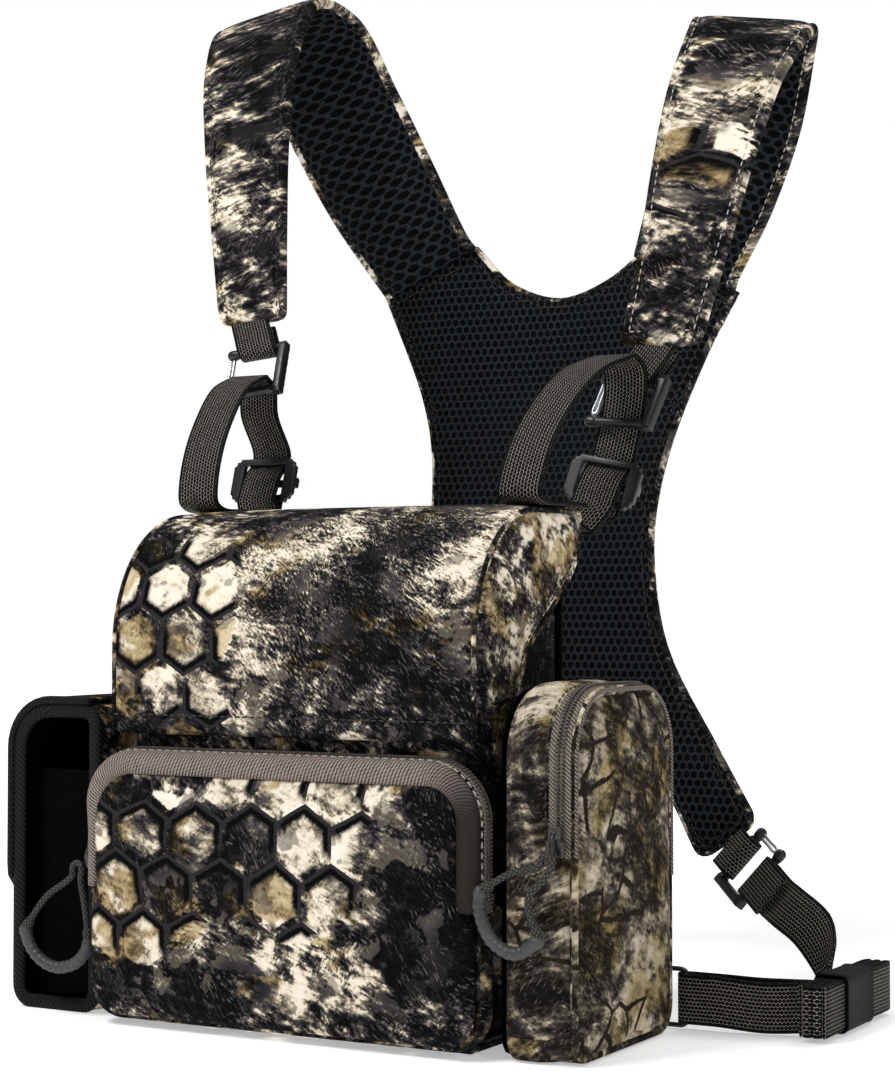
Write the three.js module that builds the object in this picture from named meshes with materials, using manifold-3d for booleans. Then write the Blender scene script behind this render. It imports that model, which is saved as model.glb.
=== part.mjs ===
// Binocular harness pack: a lidded chest pack with a front pocket, a zipped side pouch, an open side
// pouch with a flap, and a padded four-point harness hooked on by webbing.
// Millimetres. Origin on the floor under the middle of the main pouch, front faces -Y, +Z up.
import * as THREE from "three";
import { mergeVertices } from "three/addons/utils/BufferGeometryUtils.js";
import Module from "manifold-3d";

const wasm = await Module();
wasm.setup();

// Driving dimensions
const GAP = 0.35;
const WEBBING = { width: 20, thick: 1.5 };
const MAIN = { halfWidth: 81, front: -40.5, rear: 33.4, top: 198, wall: 3, corner: 12, base: 4 };
const BACK = { panelRear: 37.6, padFront: 38, padRear: 45.8, padHalfWidth: 74, padLow: 12 };
const LID = { halfWidth: 85, front: -46.3, rear: 46, top: 208.8, hem: 117, wall: 3.6, run: 52.3, rise: 56.8 };
const POCKET = { halfWidth: 90, top: 110, low: 3, back: -41, rim: -51, face: -58.5, wall: 2.5 };
const POCKET_ZIP = { low: 55, band: 8.5, corner: 22, coilY: -46.5 };
const RIGHT = { inner: 94, outer: 127.1, front: -45.6, rear: 44.3, top: 139, wall: 2.6, corner: 26 };
const RIGHT_ZIP = { low: 76, rearLow: 60, inner: 115.3, outer: 125.3, thick: 1.3 };
const LEFT = { inner: -98, outer: -146, front: -37, rear: 40, top: 131, wall: 3, corner: 22 };
const FLAP = { thick: 2.8, low: 49, gap: 0.5 };
const ELASTIC = { front: -27, thick: 1.6, top: 100 };
const PAD = { strap: 7, yoke: 7 };
const MAGNET = { half: 20, thick: 1.2, span: [122, 134] };
const HOOK = { bar: 2.1, span: 22, post: 11.3, postWidth: 4.2, depth: 5.2, knobX: -13.6, knob: 2.6 };
const GATE = { wire: 0.7, halfGap: 0.9, reach: 7.9 };
const TRIGLIDE = { width: 33, height: 20.5, side: 5, bar: 3, thick: 3 };
const RING = { inner: 111, outer: 131, y: 49.5, low: 0.4, high: 24.8, bar: 2, thick: 3 };
const HANK = { x: 184, y: 84, length: 80, thick: 11, low: 1.9, high: 22 };
const KEEPER = { near: 67, far: 97, wall: 1.2 };

const LOOKS = {
  camo: { color: 0x6f6552, roughness: 0.95, metalness: 0 },
  lining: { color: 0x17181a, roughness: 0.95, metalness: 0 },
  mesh: { color: 0x15191c, roughness: 0.85, metalness: 0 },
  webbing: { color: 0x3a3733, roughness: 0.85, metalness: 0 },
  binding: { color: 0x5a5150, roughness: 0.85, metalness: 0 },
  elastic: { color: 0x1c1c1e, roughness: 0.9, metalness: 0 },
  plastic: { color: 0x141517, roughness: 0.4, metalness: 0 },
  board: { color: 0x202224, roughness: 0.7, metalness: 0 },
  cord: { color: 0x55585a, roughness: 0.8, metalness: 0 },
  grip: { color: 0x4b4f52, roughness: 0.6, metalness: 0 },
  steel: { color: 0xb9bcbf, roughness: 0.25, metalness: 1 },
  gunmetal: { color: 0x3b3a38, roughness: 0.4, metalness: 0.8 },
};

const group = new THREE.Group();
const vec = (x, y, z) => new THREE.Vector3(x, y, z);

function add(name, look, geometry) {
  const mesh = new THREE.Mesh(geometry, new THREE.MeshStandardMaterial(LOOKS[look]));
  mesh.name = name;
  group.add(mesh);
}

// Shapes and solids

function box(x0, x1, y0, y1, z0, z1) {
  const geometry = new THREE.BoxGeometry(x1 - x0, y1 - y0, z1 - z0);
  return geometry.translate((x0 + x1) / 2, (y0 + y1) / 2, (z0 + z1) / 2);
}

// A rectangle with a radius for each corner, counter-clockwise from the low left one.
function rounded(x0, x1, y0, y1, radii, PathClass = THREE.Shape) {
  const [a, b, c, d] = radii;
  const shape = new PathClass();
  shape.moveTo(x0 + a, y0);
  shape.lineTo(x1 - b, y0);
  if (b) shape.absarc(x1 - b, y0 + b, b, -Math.PI / 2, 0);
  shape.lineTo(x1, y1 - c);
  if (c) shape.absarc(x1 - c, y1 - c, c, 0, Math.PI / 2);
  shape.lineTo(x0 + d, y1);
  if (d) shape.absarc(x0 + d, y1 - d, d, Math.PI / 2, Math.PI);
  shape.lineTo(x0, y0 + a);
  if (a) shape.absarc(x0 + a, y0 + a, a, Math.PI, 1.5 * Math.PI);
  return shape;
}

function ringShape(x0, x1, y0, y1, radii, wall) {
  const shape = rounded(x0, x1, y0, y1, radii);
  const inner = radii.map((r) => Math.max(r - wall, 0.5));
  shape.holes.push(rounded(x0 + wall, x1 - wall, y0 + wall, y1 - wall, inner, THREE.Path));
  return shape;
}

function extrude(shape, depth, curveSegments = 3) {
  return new THREE.ExtrudeGeometry(shape, { depth, curveSegments, bevelEnabled: false });
}

// A shape in X and Y from z0 up to z1.
function plateXY(shape, z0, z1) {
  return extrude(shape, z1 - z0).translate(0, 0, z0);
}

// A shape in X and Z from y0 back to y1.
function plateXZ(shape, y0, y1) {
  return extrude(shape, y1 - y0).rotateX(Math.PI / 2).translate(0, y1, 0);
}

// A shape in Y and Z from x0 out to x1.
function plateYZ(shape, x0, x1, curveSegments = 3) {
  const turn = new THREE.Matrix4().makeBasis(vec(0, 1, 0), vec(0, 0, 1), vec(1, 0, 0));
  return extrude(shape, x1 - x0, curveSegments).applyMatrix4(turn).translate(x0, 0, 0);
}

function solid(geometry) {
  const bare = geometry.index ? geometry.toNonIndexed() : geometry.clone();
  bare.deleteAttribute("normal");
  bare.deleteAttribute("uv");
  const merged = mergeVertices(bare, 1e-3);
  const vertProperties = merged.attributes.position.array;
  const triVerts = new Uint32Array(merged.index.array);
  return new wasm.Manifold(new wasm.Mesh({ numProp: 3, vertProperties, triVerts }));
}

function geometryOf(body) {
  const mesh = body.getMesh();
  const position = new THREE.BufferAttribute(new Float32Array(mesh.vertProperties), 3);
  const geometry = new THREE.BufferGeometry().setAttribute("position", position);
  return geometry.setIndex(new THREE.BufferAttribute(new Uint32Array(mesh.triVerts), 1));
}

function fuse(geometries) {
  return geometryOf(geometries.map(solid).reduce((a, b) => a.add(b)));
}

function cut(geometry, tools) {
  return geometryOf(tools.map(solid).reduce((a, b) => a.subtract(b), solid(geometry)));
}

// A flat band through stations of { at, across }, where across is half its width as a vector.
function ribbon(stations, thick, stepsPerStation) {
  const centre = new THREE.CatmullRomCurve3(stations.map((s) => s.at), false, "centripetal");
  const widths = new THREE.CatmullRomCurve3(stations.map((s) => s.across), false, "catmullrom", 0.5);
  const steps = (stations.length - 1) * stepsPerStation;
  const geometry = new THREE.BoxGeometry(2, thick, 1, 1, 1, steps);
  const position = geometry.attributes.position;
  for (let i = 0; i < position.count; i++) {
    const t = THREE.MathUtils.clamp(position.getZ(i) + 0.5, 0, 1);
    const tangent = centre.getTangent(t);
    const across = widths.getPoint(t);
    const normal = tangent.clone().cross(across).normalize();
    const point = centre.getPoint(t);
    point.addScaledVector(across, position.getX(i));
    point.addScaledVector(normal, position.getY(i));
    position.setXYZ(i, point.x, point.y, point.z);
  }
  return geometry;
}

// Stations of webbing that comes along one side of a bar, goes round it and leaves on the other side.
function roundBar(bar, barRadius, away, normal, across, firstLeg, secondLeg) {
  const radius = barRadius + 0.5 + WEBBING.thick / 2;
  const at = (along, side) => bar.clone().addScaledVector(away, along).addScaledVector(normal, side);
  const places = [at(firstLeg, radius), at(firstLeg / 2, radius)];
  for (let step = 0; step <= 4; step++) {
    const turn = (step * Math.PI) / 4;
    places.push(at(-radius * Math.sin(turn), radius * Math.cos(turn)));
  }
  places.push(at(secondLeg / 2, -radius), at(secondLeg, -radius));
  return places.map((place) => ({ at: place, across }));
}

function tube(points, radius, sides, steps) {
  const curve = new THREE.CatmullRomCurve3(points, false, "centripetal");
  const section = new THREE.Shape();
  for (let i = 0; i < sides; i++) {
    const turn = (2 * Math.PI * i) / sides;
    if (i === 0) section.moveTo(radius, 0);
    else section.lineTo(radius * Math.cos(turn), radius * Math.sin(turn));
  }
  return new THREE.ExtrudeGeometry(section, { extrudePath: curve, steps, bevelEnabled: false });
}

// Main pouch

function mainPouch() {
  const { halfWidth: w, front, rear, top, wall, corner, base } = MAIN;
  const outline = rounded(-w, w, front, BACK.panelRear, [corner, corner, 2, 2]);
  add("main_base", "camo", plateXY(outline, 0, base));
  const wrap = new THREE.Shape();
  wrap.moveTo(-w, rear);
  wrap.absarc(-w + corner, front + corner, corner, Math.PI, 1.5 * Math.PI);
  wrap.absarc(w - corner, front + corner, corner, 1.5 * Math.PI, 2 * Math.PI);
  wrap.lineTo(w, rear);
  wrap.lineTo(w - wall, rear);
  wrap.absarc(w - corner, front + corner, corner - wall, 0, -Math.PI / 2, true);
  wrap.absarc(-w + corner, front + corner, corner - wall, -Math.PI / 2, -Math.PI, true);
  wrap.lineTo(-w + wall, rear);
  // The wrap's top edge follows the round front of the lid.
  const y = LID.front + LID.run;
  const z = LID.top - LID.rise;
  const above = new THREE.Shape();
  above.moveTo(y, top + 5);
  above.lineTo(y, top);
  above.absellipse(y, z, y - front, top - z, Math.PI / 2, Math.PI);
  above.lineTo(front - 5, z);
  above.lineTo(front - 5, top + 5);
  add("main_shell", "camo", cut(plateXY(wrap, base + GAP, top), [plateYZ(above, -w - 5, w + 5, 8)]));
  add("main_back_panel", "lining", box(-w, w, rear + GAP, BACK.panelRear, base + GAP, top));
  const pad = rounded(-BACK.padHalfWidth, BACK.padHalfWidth, BACK.padLow, top, [10, 10, 10, 10]);
  add("back_pad", "mesh", plateXZ(pad, BACK.padFront, BACK.padRear));
  const inset = wall + 2;
  const board = rounded(-w + inset, w - inset, front + inset, rear - 2, [8, 8, 2, 2]);
  add("base_stiffener", "board", plateXY(board, base + GAP, base + GAP + 2));
  const inside = front + wall + GAP;
  add("front_magnet", "board", box(-MAGNET.half, MAGNET.half, inside, inside + MAGNET.thick, ...MAGNET.span));
}

// The lid's top and front in one bent sheet, with a wing down each side that ends above the hem.
function lid() {
  const { halfWidth: w, front, rear, top, hem, wall, run, rise } = LID;
  const y = front + run;
  const z = top - rise;
  const sheet = new THREE.Shape();
  sheet.moveTo(rear, top - wall);
  sheet.lineTo(rear, top);
  sheet.absellipse(y, z, run, rise, Math.PI / 2, Math.PI);
  sheet.lineTo(front, hem);
  sheet.lineTo(front + wall, hem);
  sheet.absellipse(y, z, run - wall, rise - wall, Math.PI, Math.PI / 2, true);
  const wing = new THREE.Shape();
  wing.moveTo(rear - 1, top - wall / 2);
  wing.lineTo(y, top - wall / 2);
  wing.absellipse(y, z, run - wall / 2, rise - wall / 2, Math.PI / 2, Math.PI);
  wing.lineTo(front + wall / 2, hem + 12.5);
  wing.lineTo(front + 14, hem + 12.5);
  wing.quadraticCurveTo(front + 38, hem + 15, front + 44, hem + 33);
  wing.quadraticCurveTo(front + 52, hem + 43, rear - 15, hem + 58);
  wing.quadraticCurveTo(rear - 1, hem + 67, rear - 1, top - wall / 2);
  const pieces = [plateYZ(sheet, -w, w, 8), plateYZ(wing, -w, -w + wall, 8), plateYZ(wing, w - wall, w, 8)];
  add("lid_shell", "camo", fuse(pieces));
  const inside = front + wall + GAP;
  add("lid_magnet", "board", box(-MAGNET.half, MAGNET.half, inside, inside + MAGNET.thick, ...MAGNET.span));
}

// Front pocket: a gusset ring, a pillowed front, the zip round its edge and the band that covers it.
function frontPocket() {
  const { halfWidth: w, top, low, back, rim, face, wall } = POCKET;
  const { low: zipLow, band, corner, coilY } = POCKET_ZIP;
  const gusset = ringShape(-w, w, low, top, [14, 14, corner, corner], wall);
  add("front_pocket_gusset", "camo", plateXZ(gusset, rim, back));
  const arch = (outset, inset, z0) => {
    const shape = new THREE.Shape();
    shape.moveTo(w + outset, z0);
    shape.absarc(w - corner, top - corner, corner + outset, 0, Math.PI / 2);
    shape.absarc(-w + corner, top - corner, corner + outset, Math.PI / 2, Math.PI);
    shape.lineTo(-w - outset, z0);
    shape.lineTo(-w + inset, z0);
    shape.absarc(-w + corner, top - corner, corner - inset, Math.PI, Math.PI / 2, true);
    shape.absarc(w - corner, top - corner, corner - inset, Math.PI / 2, 0, true);
    shape.lineTo(w - inset, z0);
    return shape;
  };
  add("front_zip_cover", "binding", plateXZ(arch(0.8, band, zipLow), rim - 3, rim - GAP));
  add("front_zip_coil", "binding", plateXZ(arch(1.6, -GAP, zipLow + 4), coilY - 2.4, coilY + 2.4));
  const bulge = 5;
  const c = corner - band - GAP;
  const panel = new THREE.Shape();
  panel.moveTo(-w + 14, low + bulge);
  panel.absarc(w - 14, low + 14, 14 - bulge, -Math.PI / 2, 0);
  panel.lineTo(w - bulge, zipLow - bulge - 1);
  panel.lineTo(w - band - GAP - bulge, zipLow - bulge);
  panel.absarc(w - corner, top - corner, c - bulge, 0, Math.PI / 2);
  panel.absarc(-w + corner, top - corner, c - bulge, Math.PI / 2, Math.PI);
  panel.lineTo(-w + band + GAP + bulge, zipLow - bulge);
  panel.lineTo(-w + bulge, zipLow - bulge - 1);
  panel.absarc(-w + 14, low + 14, 14 - bulge, Math.PI, 1.5 * Math.PI);
  const depth = rim - GAP - face - bulge;
  const options = { depth, curveSegments: 3, bevelThickness: bulge, bevelSize: bulge, bevelSegments: 2 };
  const pillow = new THREE.ExtrudeGeometry(panel, options);
  // Only the front keeps its bevel: the back is cut flat against the gusset.
  pillow.rotateX(Math.PI / 2).translate(0, rim - GAP, 0);
  const keepOut = box(-w - 20, w + 20, rim - GAP, rim + 30, low - 20, top + 20);
  add("front_pocket_panel", "camo", cut(pillow, [keepOut]));
}

// Right pouch: a gusset ring between an inner and an outer panel, with the zip laid round the ring.
function rightPouch() {
  const { inner, outer, front, rear, top, wall, corner } = RIGHT;
  const radii = [9, 9, corner, corner];
  const panel = () => rounded(front, rear, 0, top, radii);
  add("right_pouch_inner_panel", "lining", plateYZ(panel(), inner, inner + wall));
  const ring = ringShape(front + 1.8, rear - 1.8, 0.4, top - 1.8, radii.map((r) => r - 1.8), wall);
  add("right_pouch_gusset", "camo", plateYZ(ring, inner + wall + GAP, RIGHT_ZIP.outer - GAP));
  const c = corner - 1.8;
  const arch = (from, to, lowFront, lowRear) => {
    const shape = new THREE.Shape();
    const r = corner + from;
    const s = corner + to;
    shape.moveTo(rear + from, lowRear);
    shape.absarc(rear - corner, top - corner, r, 0, Math.PI / 2);
    shape.absarc(front + corner, top - corner, r, Math.PI / 2, Math.PI);
    shape.lineTo(front - from, lowFront);
    shape.lineTo(front - to, lowFront);
    shape.absarc(front + corner, top - corner, s, Math.PI, Math.PI / 2, true);
    shape.absarc(rear - corner, top - corner, s, Math.PI / 2, 0, true);
    shape.lineTo(rear + to, lowRear);
    return shape;
  };
  const lip = c - corner + GAP;
  const { low, rearLow, inner: zipInner, outer: zipOuter, thick } = RIGHT_ZIP;
  const tape = arch(lip + thick, lip, low, rearLow);
  add("right_zip_tape", "binding", plateYZ(tape, zipInner, zipOuter - GAP));
  const middle = (zipInner + zipOuter) / 2;
  const coil = arch(lip + thick + GAP + 1.3, lip + thick + GAP, low + 8, rearLow + 4);
  add("right_zip_coil", "binding", plateYZ(coil, middle - 1.8, middle + 1.8));
  const bulge = 3;
  const face = rounded(front + bulge, rear - bulge, bulge, top - bulge, radii.map((r) => r - bulge));
  const options = { depth: 0.6, curveSegments: 3, bevelThickness: bulge, bevelSize: bulge, bevelSegments: 2 };
  const turn = new THREE.Matrix4().makeBasis(vec(0, 1, 0), vec(0, 0, 1), vec(1, 0, 0));
  const pillow = new THREE.ExtrudeGeometry(face, options).applyMatrix4(turn);
  pillow.translate(outer - bulge - 0.6, 0, 0);
  const keepOut = box(inner, RIGHT_ZIP.outer, front - 5, rear + 5, -5, top + 5);
  add("right_pouch_outer_panel", "camo", cut(pillow, [keepOut]));
}

// Left pouch: one wrap of fabric for the inner side, the bottom, the outer side and the rear, an
// elastic front, a bound rim, and a flap over the top and down the outer side.
function leftPouch() {
  const { inner, outer, front, rear, top, wall, corner } = LEFT;
  const roof = top - FLAP.thick - FLAP.gap;
  const side = outer + FLAP.thick + FLAP.gap;
  const shoulder = corner - FLAP.thick - FLAP.gap;
  const bag = rounded(side, inner, 0, roof, [9, 9, 0.5, shoulder]);
  const hollow = rounded(side + wall, inner - wall, wall, roof + 5, [6.5, 6.5, 0.5, 0.5]);
  const block = plateXZ(bag, front + 3, rear);
  add("left_pouch_wrap", "camo", cut(block, [plateXZ(hollow, front - 5, rear - wall)]));
  const elastic = rounded(side + wall + GAP, inner - wall - GAP, wall + GAP, ELASTIC.top, [6, 6, 0.5, 0.5]);
  add("left_pouch_elastic", "elastic", plateXZ(elastic, ELASTIC.front, ELASTIC.front + ELASTIC.thick));
  const rim = rounded(side, inner, 0, roof, [9, 9, 0.5, shoulder]);
  const rimHole = rounded(side + wall + 1, inner - wall - 1, wall + 1, roof + 5, [5, 5, 0.5, 0.5]);
  const rimPlate = plateXZ(rim, front, front + 3 - GAP);
  add("left_pouch_binding", "binding", cut(rimPlate, [plateXZ(rimHole, front - 5, front + 6)]));
  const flap = new THREE.Shape();
  flap.moveTo(inner, top - FLAP.thick);
  flap.lineTo(inner, top);
  flap.absarc(outer + corner, top - corner, corner, Math.PI / 2, Math.PI);
  flap.lineTo(outer, FLAP.low);
  flap.lineTo(outer + FLAP.thick, FLAP.low);
  flap.absarc(outer + corner, top - corner, corner - FLAP.thick, Math.PI, Math.PI / 2, true);
  add("left_flap", "camo", plateXZ(flap, front, rear));
}

// Webbing between the main pouch and each side pouch.
function attachStraps() {
  const width = 25;
  const wall = MAIN.halfWidth + GAP;
  add("right_attach_strap", "webbing", box(wall, RIGHT.inner - GAP, -10, -10 + width, 20, 112));
  add("left_attach_strap", "webbing", box(LEFT.inner + GAP, -wall, -10, -10 + width, 20, 112));
}

// Zip sliders with their cord pulls. Each pull is a cord that runs from one end of a curved grip,
// through the slider's eye, to the other end of the grip.
function pull(name, eye, grip, leftBend, rightBend) {
  const turn = 2.1;
  const [left, right] = [grip[0], grip[grip.length - 1]];
  const onward = (from, to) => to.clone().addScaledVector(to.clone().sub(from).normalize(), 2.6);
  const cord = [
    left,
    leftBend,
    left.clone().lerp(eye, 0.9),
    eye.clone().add(vec(-turn, 0, 1.6)),
    eye.clone().add(vec(0, 0, 3)),
    eye.clone().add(vec(turn, 0, 1.6)),
    right.clone().lerp(eye, 0.86).add(vec(1, 0, 0)),
    rightBend,
    right,
  ];
  add(name + "_pull_cord", "cord", tube(cord, 1.3, 6, 22));
  const held = [onward(leftBend, left), ...grip.slice(1, -1), onward(rightBend, right)];
  add(name + "_pull_grip", "grip", tube(held, 2.4, 8, 14));
}

function sliders() {
  const coilFace = -POCKET.halfWidth - 1.6 - GAP;
  const y = POCKET_ZIP.coilY;
  const frontBody = box(coilFace - 2.6, coilFace, y - 3.4, y + 3.4, 62, 73);
  const frontBridge = box(coilFace - 5, coilFace - 2, y - 1.3, y + 1.3, 64, 67);
  add("front_slider", "gunmetal", fuse([frontBody, frontBridge]));
  const tapeFace = RIGHT.front - RIGHT_ZIP.thick - 1.5;
  const x = (RIGHT_ZIP.inner + RIGHT_ZIP.outer) / 2;
  const rightBody = box(x - 3.6, x + 3.6, tapeFace - 2.6, tapeFace, 77, 88.5);
  const rightBridge = box(x - 1.3, x + 1.3, tapeFace - 5, tapeFace - 2, 79, 82);
  add("right_slider", "gunmetal", fuse([rightBody, rightBridge]));
  const frontEye = vec(coilFace - 7.6, y - 2, 60.5);
  const frontGrip = [
    vec(-127.2, -46.5, 35.8),
    vec(-125.6, -46.5, 28),
    vec(-119.8, -46.5, 22.2),
    vec(-111.3, -46.5, 19.5),
    vec(-101.8, -46.5, 22),
    vec(-96, -46.5, 28),
    vec(-95.2, -46.5, 33),
  ];
  pull("front", frontEye, frontGrip, vec(-116, -48, 48.5), vec(-96.4, -47.5, 46));
  const rightEye = vec(x, tapeFace - 8, 75.5);
  const rightGrip = [
    vec(95.3, -58, 65.2),
    vec(94, -59, 57.9),
    vec(99.5, -60, 46.9),
    vec(109.4, -60.5, 42.6),
    vec(118.3, -60, 49.3),
  ];
  pull("right", rightEye, rightGrip, vec(106.5, -57.5, 71.5), vec(114, -59, 62.5));
}

// Harness

const SHOULDER = [
  // x, y, z, half width in x and z, and how far the left side hangs above the middle
  [103, 85, 289, 18.5, -0.6, 11],
  [111, 93.5, 334, 21, -0.5, 11],
  [117.5, 101, 376, 23.8, -1, 13],
  [122.5, 112, 412, 26.5, -1, 17],
  [126, 135, 440, 29.5, -5, 17],
  [117, 153, 433, 30.5, -8, 15],
  [104.6, 167, 402, 31, -10, 11],
  [88.8, 178, 368, 29, -12, 8],
  [70.5, 189.5, 334, 25.5, -11, 5],
];

function yokeDepth(x, z) {
  const lean = 154 + (Math.min(z, 280) - 60) * 0.125;
  const hollow = 9 * THREE.MathUtils.smoothstep(z, 190, 280);
  const crown = 6 * Math.max(0, 1 - (x / 55) ** 2) * THREE.MathUtils.smoothstep(z, 120, 300);
  return lean + hollow + crown;
}

function harnessPads(side, name) {
  const stations = SHOULDER.map(([x, y, z, halfX, halfZ, hang]) => ({
    at: vec(side * x, y, z - side * hang),
    across: vec(side * halfX, 0, halfZ),
  }));
  add(name + "_shoulder_strap", "camo", ribbon(stations, PAD.strap, 3));
}

function yoke() {
  const seam = { outer: [95, 320], inner: [44, 342], hang: 5 };
  const edge = [[77, 283], [66, 253], [60.5, 224], [60, 194], [69, 151], [96, 106], [114, 78]];
  const shape = new THREE.Shape();
  shape.moveTo(0, 131);
  shape.splineThru([[25, 126], [48, 111], [72, 86], [87, 61]].map((p) => new THREE.Vector2(...p)));
  shape.quadraticCurveTo(90, 55, 96, 58);
  shape.lineTo(111, 68);
  shape.quadraticCurveTo(117, 72, 114, 78);
  const up = edge.slice(0, -1).reverse();
  const rightSeam = [seam.outer[0], seam.outer[1] - seam.hang];
  shape.splineThru([...up, rightSeam].map((p) => new THREE.Vector2(...p)));
  shape.lineTo(seam.inner[0], seam.inner[1] - seam.hang);
  shape.splineThru([[26, 326], [0, 319], [-26, 328]].map((p) => new THREE.Vector2(...p)));
  shape.lineTo(-seam.inner[0], seam.inner[1] + seam.hang);
  shape.lineTo(-seam.outer[0], seam.outer[1] + seam.hang);
  shape.splineThru(edge.map(([x, z]) => new THREE.Vector2(-x, z)));
  shape.quadraticCurveTo(-117, 72, -111, 68);
  shape.lineTo(-96, 58);
  shape.quadraticCurveTo(-90, 55, -87, 61);
  shape.splineThru([[-72, 86], [-48, 111], [-25, 126], [0, 131]].map((p) => new THREE.Vector2(...p)));
  const geometry = extrude(shape, PAD.yoke, 2).rotateX(Math.PI / 2).translate(0, PAD.yoke, 0);
  const position = geometry.attributes.position;
  for (let i = 0; i < position.count; i++) {
    const depth = yokeDepth(position.getX(i), position.getZ(i));
    position.setY(i, position.getY(i) + depth);
  }
  add("yoke", "mesh", geometry);
}

// A hook in its own frame: bars along x at y = -span/2 and +span/2, a post at +x, the gate at -x.
function hookFrame() {
  const { bar, span, post, postWidth, depth, knobX, knob } = HOOK;
  const rod = (y) => {
    const length = post + 2 - knobX;
    const cylinder = new THREE.CylinderGeometry(bar, bar, length, 8).rotateZ(Math.PI / 2);
    return cylinder.translate(knobX + length / 2, y, 0);
  };
  const ball = (y) => new THREE.SphereGeometry(knob, 8, 5).translate(knobX, y, 0);
  const reach = span / 2 + 2.6;
  const side = plateXY(rounded(post, post + postWidth, -reach, reach, [2, 2, 2, 2]), -depth / 2, depth / 2);
  return fuse([side, rod(-span / 2), rod(span / 2), ball(-span / 2), ball(span / 2)]);
}

function gateWire() {
  const { wire, halfGap, reach } = GATE;
  const x = HOOK.knobX;
  const path = [
    vec(x - halfGap, reach, 0),
    vec(x - halfGap, 0, 0),
    vec(x - halfGap, -reach + 1.6, 0),
    vec(x, -reach + wire, 0),
    vec(x + halfGap, -reach + 1.6, 0),
    vec(x + halfGap, 0, 0),
    vec(x + halfGap, reach, 0),
  ];
  return tube(path, wire, 5, 12);
}

// The frame with bars along `across`, its lower bar at `low` and its upper bar towards `up`.
function hookPlace(low, up, across) {
  const y = up.clone().normalize();
  const x = across.clone().addScaledVector(y, -across.dot(y)).normalize();
  const z = x.clone().cross(y);
  const middle = low.clone().addScaledVector(y, HOOK.span / 2);
  return new THREE.Matrix4().makeBasis(x, y, z).setPosition(middle);
}

function hook(name, place) {
  add(name + "_hook", "plastic", hookFrame().applyMatrix4(place));
  add(name + "_hook_gate", "steel", gateWire().applyMatrix4(place));
}

function axes(place) {
  const x = new THREE.Vector3();
  const y = new THREE.Vector3();
  const z = new THREE.Vector3();
  place.extractBasis(x, y, z);
  return { x, y, z };
}

// A triglide in its own frame: webbing passes along y at z = 0, behind the two outer bars and in
// front of the middle bar.
function triglideFrame() {
  const { width: w, height: h, side, bar, thick } = TRIGLIDE;
  const slot = WEBBING.thick / 2 + GAP;
  const outline = rounded(-w / 2, w / 2, -h / 2, h / 2, [4, 4, 4, 4]);
  const hole = rounded(-w / 2 + side, w / 2 - side, -h / 2 + bar, h / 2 - bar, [1, 1, 1, 1], THREE.Path);
  outline.holes.push(hole);
  const pieces = [plateXY(outline, slot, slot + thick)];
  for (const s of [-1, 1]) {
    const x = s * (w / 2 - side / 2);
    pieces.push(box(x - side / 2, x + side / 2, -3, 3, -slot - thick, slot + 1));
  }
  pieces.push(box(-w / 2 + 1, w / 2 - 1, -1.8, 1.8, -slot - thick, -slot));
  return fuse(pieces);
}

function upperWebbing(side, name) {
  const [hang, lean] = side < 0 ? [9.5, 9] : [-11.5, 12];
  const [centre, up, tilt] = side < 0 ? [vec(-83, 67, 225), vec(0, 6, 20), 0] : [vec(86, 67, 220), vec(4, 6, 20), -0.2];
  const half = WEBBING.width / 2;
  const low = vec(side * 92, 68.5, 257 + hang);
  const place = hookPlace(low, vec(side * 2.5, lean, 19.5), vec(1, 0, 0));
  hook(name + "_upper", place);
  const { x, y } = axes(place);
  const bar = low.clone().addScaledVector(y, HOOK.span);
  const [strapX, strapY, strapZ, , , strapHang] = SHOULDER[0];
  const away = vec(side * strapX, strapY, strapZ - side * strapHang).sub(bar);
  const leg = away.length() - 3.4;
  away.normalize();
  const across = x.clone().multiplyScalar(half);
  const normal = away.clone().cross(x).normalize();
  const tab = roundBar(bar, HOOK.bar, away, normal, across, leg, leg);
  add(name + "_strap_webbing", "webbing", ribbon(tab, WEBBING.thick, 2));

  const grip = hookPlace(centre, up, vec(1, 0, tilt)).setPosition(centre);
  add(name + "_triglide", "plastic", triglideFrame().applyMatrix4(grip));
  const local = (u, v, n) => vec(u, v, n).applyMatrix4(grip);
  const flat = vec(half, 0, 0);
  const turned = axes(grip).x.multiplyScalar(half);
  const route = [
    vec(side * 78, 45.5, 210.4),
    vec(side * 78, 26, 210.4),
    vec(side * 77.6, 11.5, 210.6),
    vec(side * 77.4, 5.6, 213.6),
    vec(side * 78.2, 6.4, 221),
    vec(side * 80, 13, 236),
    vec(side * 83, 26, 252),
    vec(side * 87, 43, 265.5),
    vec(side * 91.5, 65, 273.2),
    vec(side * 92.3, 72.9, 268.5),
    vec(side * 92, 74.2, 256),
  ].map((at) => ({ at, across: flat }));
  const through = [[0, 13, 0], [0, 6, 0], [0, 1, 0.2], [0, -3, 2], [0, -6, 5.3], [0, -10.5, 6.2]];
  for (const [u, v, n] of through) route.push({ at: local(u, v, n), across: turned });
  const tailTurn = turned.clone().applyAxisAngle(axes(grip).z, -side * 0.45);
  route.push({ at: local(-side * 3, -16.5, 6.2), across: tailTurn });
  route.push({ at: local(-side * 4.2, -18.6, 6.4), across: tailTurn });
  add(name + "_upper_webbing", "webbing", ribbon(route, WEBBING.thick, 2));

  const anchor = [
    { at: local(0, -7.4, 0), across: turned },
    { at: local(0, -13, -0.2), across: turned },
    { at: vec(side * 80, 60.5, 204), across: flat },
    { at: vec(side * 76, 56.5, 199.3), across: flat },
    { at: vec(side * 71, 49, 199.3), across: flat },
    { at: vec(side * 70, 42.2, 199.3), across: flat },
  ];
  add(name + "_anchor_webbing", "webbing", ribbon(anchor, WEBBING.thick, 2));
}

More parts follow.
